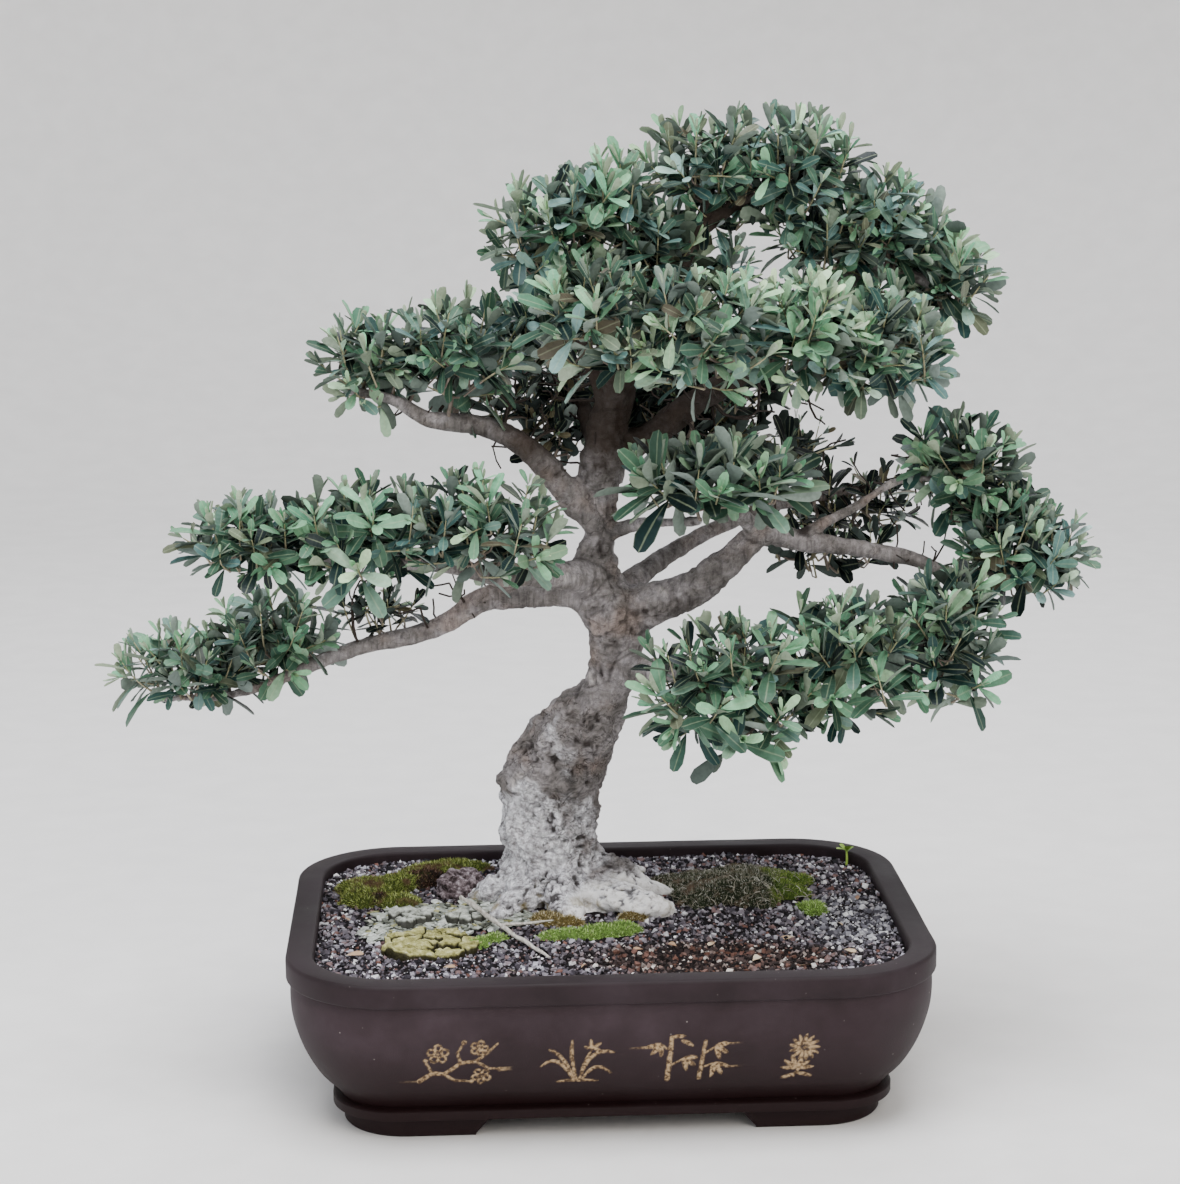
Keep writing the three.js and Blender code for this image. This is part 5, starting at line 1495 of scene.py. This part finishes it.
def dome(middle, half, detail, seed):
    """A low closed mound: its top is a noisy dome, its bottom lies in the soil."""
    a = around(detail)
    cosines, sines = np.cos(a), np.sin(a)
    rows = max(8, detail // 4)
    edge = 1 + 0.26 * value_noise(np.column_stack([cosines * 2 + seed, sines * 2, 0 * a]), 1.0)
    edge += 0.22 * value_noise(np.column_stack([cosines * 5 + seed, sines * 5, 0 * a]), 1.0)
    rings = []
    for t in np.linspace(0, 1, rows + 1)[:-1]:
        flat, lift = cos(t * pi / 2), sin(t * pi / 2)
        x = middle[0] + half[0] * flat * edge * cosines
        y = middle[1] + half[1] * flat * edge * sines
        base = soil_height(x, y)
        bump = 1 + DOME_BUMPS * layered_noise(np.column_stack([x, y, 0 * x + seed]), 12)
        rings.append(np.column_stack([x, y, base - 1.2 + (half[2] + 1.2) * lift * bump]))
    under = rings[0] * (1, 1, 0) + (0, 0, rings[0][:, 2].min() - 2.5)
    under[:, :2] = middle[:2] + (under[:, :2] - middle[:2]) * 0.97
    crown = np.array([middle[0], middle[1], rings[-1][:, 2].mean() + 0.05])
    return loft([under] + rings, (middle[0], middle[1], under[0, 2]), crown)


spike_points = np.array([(0.5, 0, 0), (-0.25, 0.43, 0), (-0.25, -0.43, 0), (0.06, 0.02, 3.4)]) / MM
spike_faces = [(0, 2, 1), (0, 1, 3), (1, 2, 3), (2, 0, 3)]
spike = mesh_object("moss_spike", spike_points, spike_faces, smooth=False, shown=False)

pile_tree, node, given, end = new_tree("moss_pile", Density="Float", Thickness="Float", Seed="Int",
    Spike="Object", Moss="Material")
top_side = node("SeparateXYZ", [node("InputNormal")])
upward = node("Compare", [top_side.outputs["Z"], 0.12], operation="GREATER_THAN")
strewn = node("DistributePointsOnFaces", {
    "Mesh": given["Geometry"], "Selection": upward, "Density": given["Density"],
    "Seed": given["Seed"]}, distribute_method="RANDOM")
tilt = node("RandomValue", {0: (-0.6, -0.6, 0), 1: (0.6, 0.6, 6.28), "Seed": 2}, data_type="FLOAT_VECTOR")
leaning = node("RotateRotation", [strewn.outputs["Rotation"], tilt], rotation_space="LOCAL")
thick = node("RandomValue", {2: 0.6, 3: 1.25, "Seed": 3}, data_type="FLOAT")
size = node("Math", [thick, given["Thickness"]], operation="MULTIPLY")
one = node("GeometryNodeObjectInfo", {"Object": given["Spike"]})
placed = place_shapes(node, strewn, Instance=one.outputs["Geometry"], Rotation=leaning, Scale=size)
both = node("JoinGeometry", [placed])
pile_tree.links.new(given["Geometry"], both.inputs[0])
end_tree(node, end, both, given["Moss"])


# %% Kinds of moss
def moss(name, colours, dry, bright_edge=None):
    """Moss whose spikes run through the colours by chance, with dry patches of another."""
    material, node, shader, place = new_material(name, 0.9, 0.15)
    chance = node("Attribute", attribute_name="chance")
    blades = node("ValToRGB", [chance], stops=list(zip((0.0, 0.4, 0.8, 1.0), colours)))
    patch = node("TexNoise", [place, per_metre(15), 4, 0.65])
    where = node("MapRange", [patch, dry[0], dry[0] + 0.12])
    tone = node("Mix", [where, blades, dry[1]], **COLOURS)
    if bright_edge:
        side = node("SeparateXYZ", [place])
        ragged = node("Math", [patch, 0.05, side.outputs["X"]], operation="MULTIPLY_ADD")
        edge = node("MapRange", [ragged, bright_edge + 0.02, bright_edge + 0.032, 0.0, 0.9])
        fresh = node("ValToRGB", [chance], stops=[(0.0, "#3E5420"), (0.5, "#6E8B32"), (1.0, "#A9BC62")])
        tone = node("Mix", [edge, tone, fresh], **COLOURS)
    dress(shader, Base_Color=speckled(node, place, tone, 1.8, 2, 0.6, 1.3)[0])
    return material


bright_moss = moss("fresh_moss", ("#567034", "#88AB54", "#A8C972", "#D3E2AA"), (0.6, "#726B48"))
green_moss = moss("shaded_moss", ("#3B451B", "#717E3C", "#A4B05E", "#CBD492"), (0.51, "#5E4A38"))
dark_moss = moss("dry_dark_moss", ("#232A1C", "#565C48", "#8F8E7E", "#D6D4CA"), (0.53, "#716051"), 0.112)
ochre_moss = moss("ochre_lichen_tuft", ("#5A4E2C", "#90825A", "#B9AD84", "#DED8C0"), (0.6, "#6E7A42"))
brown_moss = moss("dead_brown_moss", ("#1E1611", "#402E24", "#674E40", "#9A7F6E"), (0.55, "#333A1A"))

SPIKES_PER_M2, STALKS_PER_M2 = 9.5e5, 5.2e4
MOSSES = [  # piece, material, slot, then middle and half sizes of each cushion
    ("moss_left_back_pile", green_moss, "moss", ((-152, 58), (22, 26, 10)), ((-134, 66), (16, 14, 9))),
    ("moss_left_rear_pile", green_moss, "moss", ((-100, 99), (26, 21, 8)), ((-124, 92), (13, 12, 7))),
    ("moss_right_mound_pile", dark_moss, "moss", ((88, 42), (50, 38, 12.5))),
    ("moss_right_small_pile", bright_moss, "moss_bright", ((135, 4), (9, 12, 5))),
    ("moss_front_strip_pile", bright_moss, "moss_bright", ((-22, -41), (19, 9, 4)),
        ((-4, -35), (13, 8, 4.6)), ((10, -31), (12, 8, 5)), ((-38, -44), (8, 6, 3))),
    ("moss_front_dot_pile", bright_moss, "moss_bright", ((-81, -50), (7, 9, 4)), ((-70, -44), (7, 6, 4))),
    ("dead_moss_pile", brown_moss, "moss", ((-118, 76), (20, 16, 8.5)), ((-146, 38), (12, 9, 6))),
    ("low_moss_pile", green_moss, "moss", ((-132, 32), (16, 11, 6))),
    ("ochre_tufts", ochre_moss, "crust", ((-36, -14), (14, 9, 6)), ((-24, -20), (9, 6, 5)),
        ((17, -10), (9, 6, 6)))]
for n, (name, material, slot, *cushions) in enumerate(MOSSES):
    skins = [dome(middle, half, detail=72 if half[0] > 30 else 40, seed=n * 3.7 + m * 1.3)
             for m, (middle, half) in enumerate(cushions)]
    pile = mesh_object(name, *join_skins(skins))
    run_nodes(pile, pile_tree, Density=SPIKES_PER_M2, Thickness=0.64 * MM, Seed=n, Spike=spike,
        Moss=material)
    stands_for = name.removesuffix("_pile")  # the small extra cushions stand for no solid
    finish_piece(pile, [stands_for] if stands_for in frame["nodes"] else [])
bpy.data.objects.remove(spike)

# %% [markdown]
# ## Dry stalks
# The dark mound carries the dead stalks of an older growth, pale, bent and lying across each
# other. One short bent tube with three sides is enough, and the moss's own tree strews it, thinly
# and nearly flat, over the same dome set a little lower.

# %% Dry stalks over the dark mound
STALK = [(-5, 0, 0.8, 0.3), (-1.8, 0.5, 2.2, 0.38), (1.8, 0.4, 2.2, 0.36), (5, -0.5, 0.8, 0.26)]
dry_stalk = mesh_object("dry_stalk", *tube(np.array(STALK) * (1 / MM), 3), shown=False)
stalk_material, node, shader, place = new_material("dead_moss_stalk", 0.85, 0.2)
chance = node("Attribute", attribute_name="chance")
dead = node("ValToRGB", [chance], stops=[(0.0, "#4F473B"), (0.5, "#8B8474"), (1.0, "#CBC8BC")])
dress(shader, Base_Color=dead)
mound_points, mound_faces = dome((88, 42), (50, 38, 12.5), detail=72, seed=7.4)
strewn_stalks = mesh_object("dry_stalks", mound_points - (0, 0, 0.7), mound_faces)
run_nodes(strewn_stalks, pile_tree, Density=STALKS_PER_M2, Thickness=0.66 * MM, Seed=9, Spike=dry_stalk,
    Moss=stalk_material)
finish_piece(strewn_stalks)
bpy.data.objects.remove(dry_stalk)
remove_all(stones)

# %% [markdown]
# ## Tuff, crust and chips
# Left of the trunk lie a lump of purple volcanic tuff, a plate of old yellow-green lichen crust
# that has dried and cracked into islands, and bluish grey chips of the same crust. A crack
# pattern is a set of cells round scattered seeds: each cell is cut out of the plate's outline by
# the lines halfway to its neighbours. Each island is then lofted by itself, a little higher or
# lower and tipped, so that the cracks are real gaps.

# %% Plates of crust
def behind_line(polygon, point, normal):
    """The part of a polygon that lies behind a line."""
    side = (polygon - point) @ normal
    kept = []
    for a, b, da, db in zip(polygon, np.roll(polygon, -1, axis=0), side, np.roll(side, -1)):
        if da <= 0:
            kept.append(a)
        if da * db < 0:
            kept.append(a + (b - a) * da / (da - db))
    return np.array(kept)


def even_ring(polygon, count):
    """A polygon's outline as evenly spaced points, with its corners a little rounded."""
    closed = np.vstack([polygon, polygon[:1]])
    run = run_along(closed)
    at = np.linspace(0, run[-1], count, endpoint=False)
    ring = np.column_stack([np.interp(at, run, closed[:, n]) for n in (0, 1)])
    return (np.roll(ring, 1, axis=0) + 2 * ring + np.roll(ring, -1, axis=0)) / 4


def island_skin(ring, thickness, slope):
    """One island: an upright edge, rounded off on top, and a rough face. Also how much painted crack shade
    each point gets.
    """
    centre = ring.mean(axis=0)
    ground = float(soil_height(*centre))
    top = ground + thickness
    rings = [np.column_stack([ring, np.full(len(ring), ground - 3)])]
    crack_shade = [1.0]
    inner = [(share, 0, 0) for share in (0.79, 0.68, 0.57, 0.46, 0.35, 0.24, 0.12)]
    # the edge that drops into a crack is painted darker: painted shade
    for share, drop, dark in [(1, 1.3, 0.9), (0.97, 0.3, 0.35), (0.89, 0, 0.05)] + inner:
        flat = centre + (ring - centre) * share
        at = np.column_stack([flat, np.zeros(len(flat))])
        rough = 1.3 * layered_noise(at + 20, 3.4) + 0.7 * layered_noise(at + 70, 9)
        rough -= 0.9 * smoothstep(0.2, 0.6, value_noise(at + 90, 2.3))
        rings.append(np.column_stack([flat, top - drop + rough + (flat - centre) @ slope]))
        crack_shade.append(dark)
    skin = loft(rings, (*centre, ground - 3), (*centre, rings[-1][:, 2].mean()))
    return skin, np.append(np.repeat(crack_shade, len(ring)), (1, 0))


def plate(name, middle, half, thickness, islands, seed):
    """A crust that has cracked into islands."""
    chip = np.random.default_rng(seed)
    i = np.arange(islands)
    turn = i * 2.4 + chip.uniform(0, 6)
    spread = 0.86 * np.sqrt((i + 0.5) / islands)[:, None]
    seeds = np.array(middle) + half * spread * np.column_stack([np.cos(turn), np.sin(turn)])
    seeds += chip.normal(0, 0.15, seeds.shape) * half
    a = around(60)
    facing = np.column_stack([np.cos(a), np.sin(a)])
    uneven = 1 + 0.2 * value_noise(np.column_stack([facing * 2.2 + seed, 0 * a]), 1.0)
    rim = np.array(middle) + half * facing * uneven[:, None]
    skins, crack_shade = [], []
    for n, own in enumerate(seeds):
        cell = rim
        for other in np.delete(seeds, n, axis=0):
            cell = behind_line(cell, (own + other) / 2, other - own)
        ring = even_ring(cell, 34)
        ring = ring.mean(axis=0) + (ring - ring.mean(axis=0)) * 0.96
        sway = [value_noise(np.column_stack([ring, ring[:, 0] * 0 + s]), 2.6) for s in (3, 8)]
        ring += 1.1 * np.column_stack(sway)
        skin, dark = island_skin(ring, thickness + chip.uniform(-1.2, 1.0), chip.normal(0, 0.08, 2))
        skins.append(skin)
        crack_shade.append(dark)
    made = mesh_object(name, *join_skins(skins), smooth=False)
    set_attribute(made, "crack", np.concatenate(crack_shade))
    return made


def cracked_tone(node, tone, dark):
    """A crust's colour, painted darker in its cracks: painted shade."""
    crack = node("Attribute", attribute_name="crack")
    return node("Mix", [crack, tone, dark], **COLOURS)


crust_material, node, shader, place = new_material("dried_lichen_crust", 0.92, 0.15)
patch = node("TexNoise", [place, per_metre(8), 6, 0.76])
crust_tone = node("ValToRGB", [patch], stops=[(0.3, "#3C3923"), (0.42, "#85824F"), (0.52, "#AEAB70"),
    (0.62, "#CCC99A"), (0.72, "#E2E2D4")])
knobbly = node("TexNoise", [place, per_metre(2), 4])
relief = node("Bump", {"Height": knobbly, "Distance": 0.0014, "Strength": 1.0})
dress(shader, Base_Color=cracked_tone(node, crust_tone, "#1E1A13"), Normal=relief)

chip_material, node, shader, place = new_material("blue_grey_lichen_chip", 0.92, 0.15)
patch = node("TexNoise", [place, per_metre(6), 5, 0.65])
chip_tone = node("ValToRGB", [patch], stops=[(0.34, "#62635A"), (0.45, "#A0A49B"), (0.56, "#C4C8BF"),
    (0.7, "#E0E3DD")])
relief = node("Bump", {"Height": patch, "Distance": 0.0012, "Strength": 0.8})
dress(shader, Base_Color=cracked_tone(node, chip_tone, "#2A2924"), Normal=relief)

for name, middle, half, thickness, islands, seed, slot, stands_for, material in (
        ("cracked_crust", (-113, -51), (30, 26), 5, 13, 4, "crust", "lichen_crust", crust_material),
        ("chip_rear", (-88, -4), (14, 10), 6, 5, 5, "chip", "lichen_chip_rear", chip_material),
        ("chip_side", (-125, 2), (13, 17), 5.5, 6, 6, "chip", "lichen_chip_side", chip_material)):
    finish_piece(plate(name, middle, half, thickness, islands, seed), [stands_for], material)

# %% [markdown]
# ## The tuff lump
# Tuff is volcanic ash gone to stone, light and full of pits. A ball of many faces is pushed out
# by noise and pitted by cells; its underside lies in the soil.

# %% Pitted tuff
ball = bmesh.new()
bmesh.ops.create_icosphere(ball, subdivisions=5, radius=1)
out = np.array([v.co for v in ball.verts])
faces = [[v.index for v in face.verts] for face in ball.faces]
ball.free()
pit, _ = cells(out * 19 + 40, 4.2)
bulge = 4.2 * layered_noise(out * 19 + 7, 11) + 2.4 * layered_noise(out * 19, 4)
bulge -= 1.9 * smoothstep(0.42, 0.2, pit)
tuff = mesh_object("tuff_stone", on_soil(-91, 52, 4) + out * ((18, 19, 11.5) + bulge[:, None]), faces)
tuff_material = mottled("purple_tuff", 0.95, 4, 5, 0.74, [
    (0.34, "#1A1515"), (0.45, "#4C4143"), (0.55, "#7C7074"), (0.68, "#C3B9BE")], 0.0014, 0.8, specular=0.15)
finish_piece(tuff, ["tuff_lump"], tuff_material)

# %% [markdown]
# ## Bleached twig, sprout and fallen leaves
# A dead twig with one fork lies across the front, silver white from the sun. By the rear rim a
# seedling of five bright leaves has come up by itself. A few dry olive leaves lie on the grit.
# The twig is a tube whose radius swells and narrows by noise along it; the leaves are the olive's blade
# again.

# %% Dead twig
twig_points = [(-92, 13, 10.2, 1.5), (-81, -6, 8.6, 1.7), (-68, -31, 5.4, 1.6), (-54, -58, 3.6, 1.4),
    (-39, -84, 2.2, 1.0)]
fork_points = [(-68, -31, 5.4, 1.3), (-50, -34, 6.4, 1.0), (-34, -30, 7, 0.7)]
pieces_of_twig = []
for rows, sides in ((twig_points, 12), (fork_points, 8)):
    path = densify([(*on_soil(x, y, up), r) for x, y, up, r in rows], 1.6)
    path = wander(path, 0.7, 9)
    path[:, 3] *= 0.9 + 0.22 * value_noise(path[:, :3], 4.5)
    pieces_of_twig.append(tube(path, sides))
bleached = mesh_object("bleached_twig", *join_skins(pieces_of_twig))
bleached_material, node, shader, place = new_material("weathered_dead_wood", 0.8)
line_place = node("Mapping", {
    "Vector": place, "Rotation": (0, 0, radians(30)), "Scale": (1.0, 0.15, 1.0)})
fibre = node("TexNoise", [line_place, per_metre(1.4), 3])
bone = node("ValToRGB", [fibre], stops=[(0.3, "#8E877D"), (0.5, "#BDB8AE"), (0.7, "#DAD7D0")])
relief = node("Bump", {"Height": fibre, "Distance": 0.0005, "Strength": 0.8})
dress(shader, Base_Color=bone, Normal=relief)
finish_piece(bleached, ["dead_twig"], bleached_material)


# %% Seedling and fallen leaves
def placed_leaf(at, heading, length, roll=0.0, bend=20, half_width=0.2):
    """One leaf of a length in mm at a point, growing along a heading and rolled about it."""
    opening, fold = 70, 12
    points, faces = leaf_skin(opening, bend, half_width, fold, 0)
    turn = Vector(heading).to_track_quat("X", "Z").to_matrix() @ Matrix.Rotation(roll, 3, "X")
    lay = Matrix.Rotation(radians(opening - 90), 3, "Y")
    return (points * length) @ np.array(turn @ lay.inverted()).T + at, faces


foot = on_soil(172, 108)
sprout_leaves = []
for i in range(5):
    a, tilt = i * 2.4, 0.5 if i < 3 else 0.95
    heading = (cos(a) * tilt, sin(a) * tilt, 1 - tilt * 0.6)
    sprout_leaves.append(placed_leaf(foot + (0, 0, 8.5 + i * 0.5), heading, 6.5 + i % 3, half_width=0.29))
sprout = leaf_object("seedling", sprout_leaves)
stalk = mesh_object("stalk", *tube(densify([(*foot - (0, 0, 2), 0.9), (*foot + (0.3, 0, 5), 0.8),
                                            (*foot + (0, 0.3, 11), 0.6)], 1), 8))
fresh = mottled("fresh_seedling_leaf", 0.5, 5, 3, 0.5, [(0.35, "#6F9A2E"), (0.65, "#A9CC57")])
sprout.data.materials.append(fresh)
stalk.data.materials.append(fresh)
with bpy.context.temp_override(active_object=sprout, selected_editable_objects=[sprout, stalk],
        object=sprout, selected_objects=[sprout, stalk]):
    bpy.ops.object.join()
finish_piece(sprout, ["weed_sprout"])

FALLEN = [(-164, -68, 12, 20), (41, -68, 9, 120), (85, -97, 12, 60), (117, -50, 10, 200), (143, -82, 9, 320),
          (-20, -104, 8, 75), (-104, -96, 8, 10), (20, -74, 7, 160), (168, 30, 9, 260), (112, -108, 8, 15),
          (-60, -108, 7, 140), (66, -60, 8, 230), (150, -30, 8, 100), (-168, 10, 9, 300)]
litter = []
for n, (x, y, length, turn) in enumerate(FALLEN):
    a = radians(turn)
    heading = (cos(a), sin(a), 0.12)
    litter.append(placed_leaf(on_soil(x, y, 2.0), heading, length, roll=0.35 * (-1) ** n, bend=14))
fallen = leaf_object("fallen_leaves", litter)
dry = mottled("dry_olive_leaf", 0.7, 24, 3, 0.5, [(0.35, "#8A5F44"), (0.5, "#B39474"), (0.65, "#D5C6AC")])
finish_piece(fallen, material=dry)

# %% [markdown]
# ## Drain screens
# Under the soil, moulded plastic screens keep it from running out of the drain holes. They stay
# as they are in the solid model and only get their plastic.

# %% Screens
plastic = mottled("moulded_black_polypropylene", 0.55, 4, 2, 0.5, [(0.3, "#1B1D20"), (0.7, "#2A2D31")])
for name in ("drain_screen_left", "drain_screen_right"):
    screen = frame["nodes"][name]
    screen.data.materials.clear()
    screen.data.materials.append(plastic)
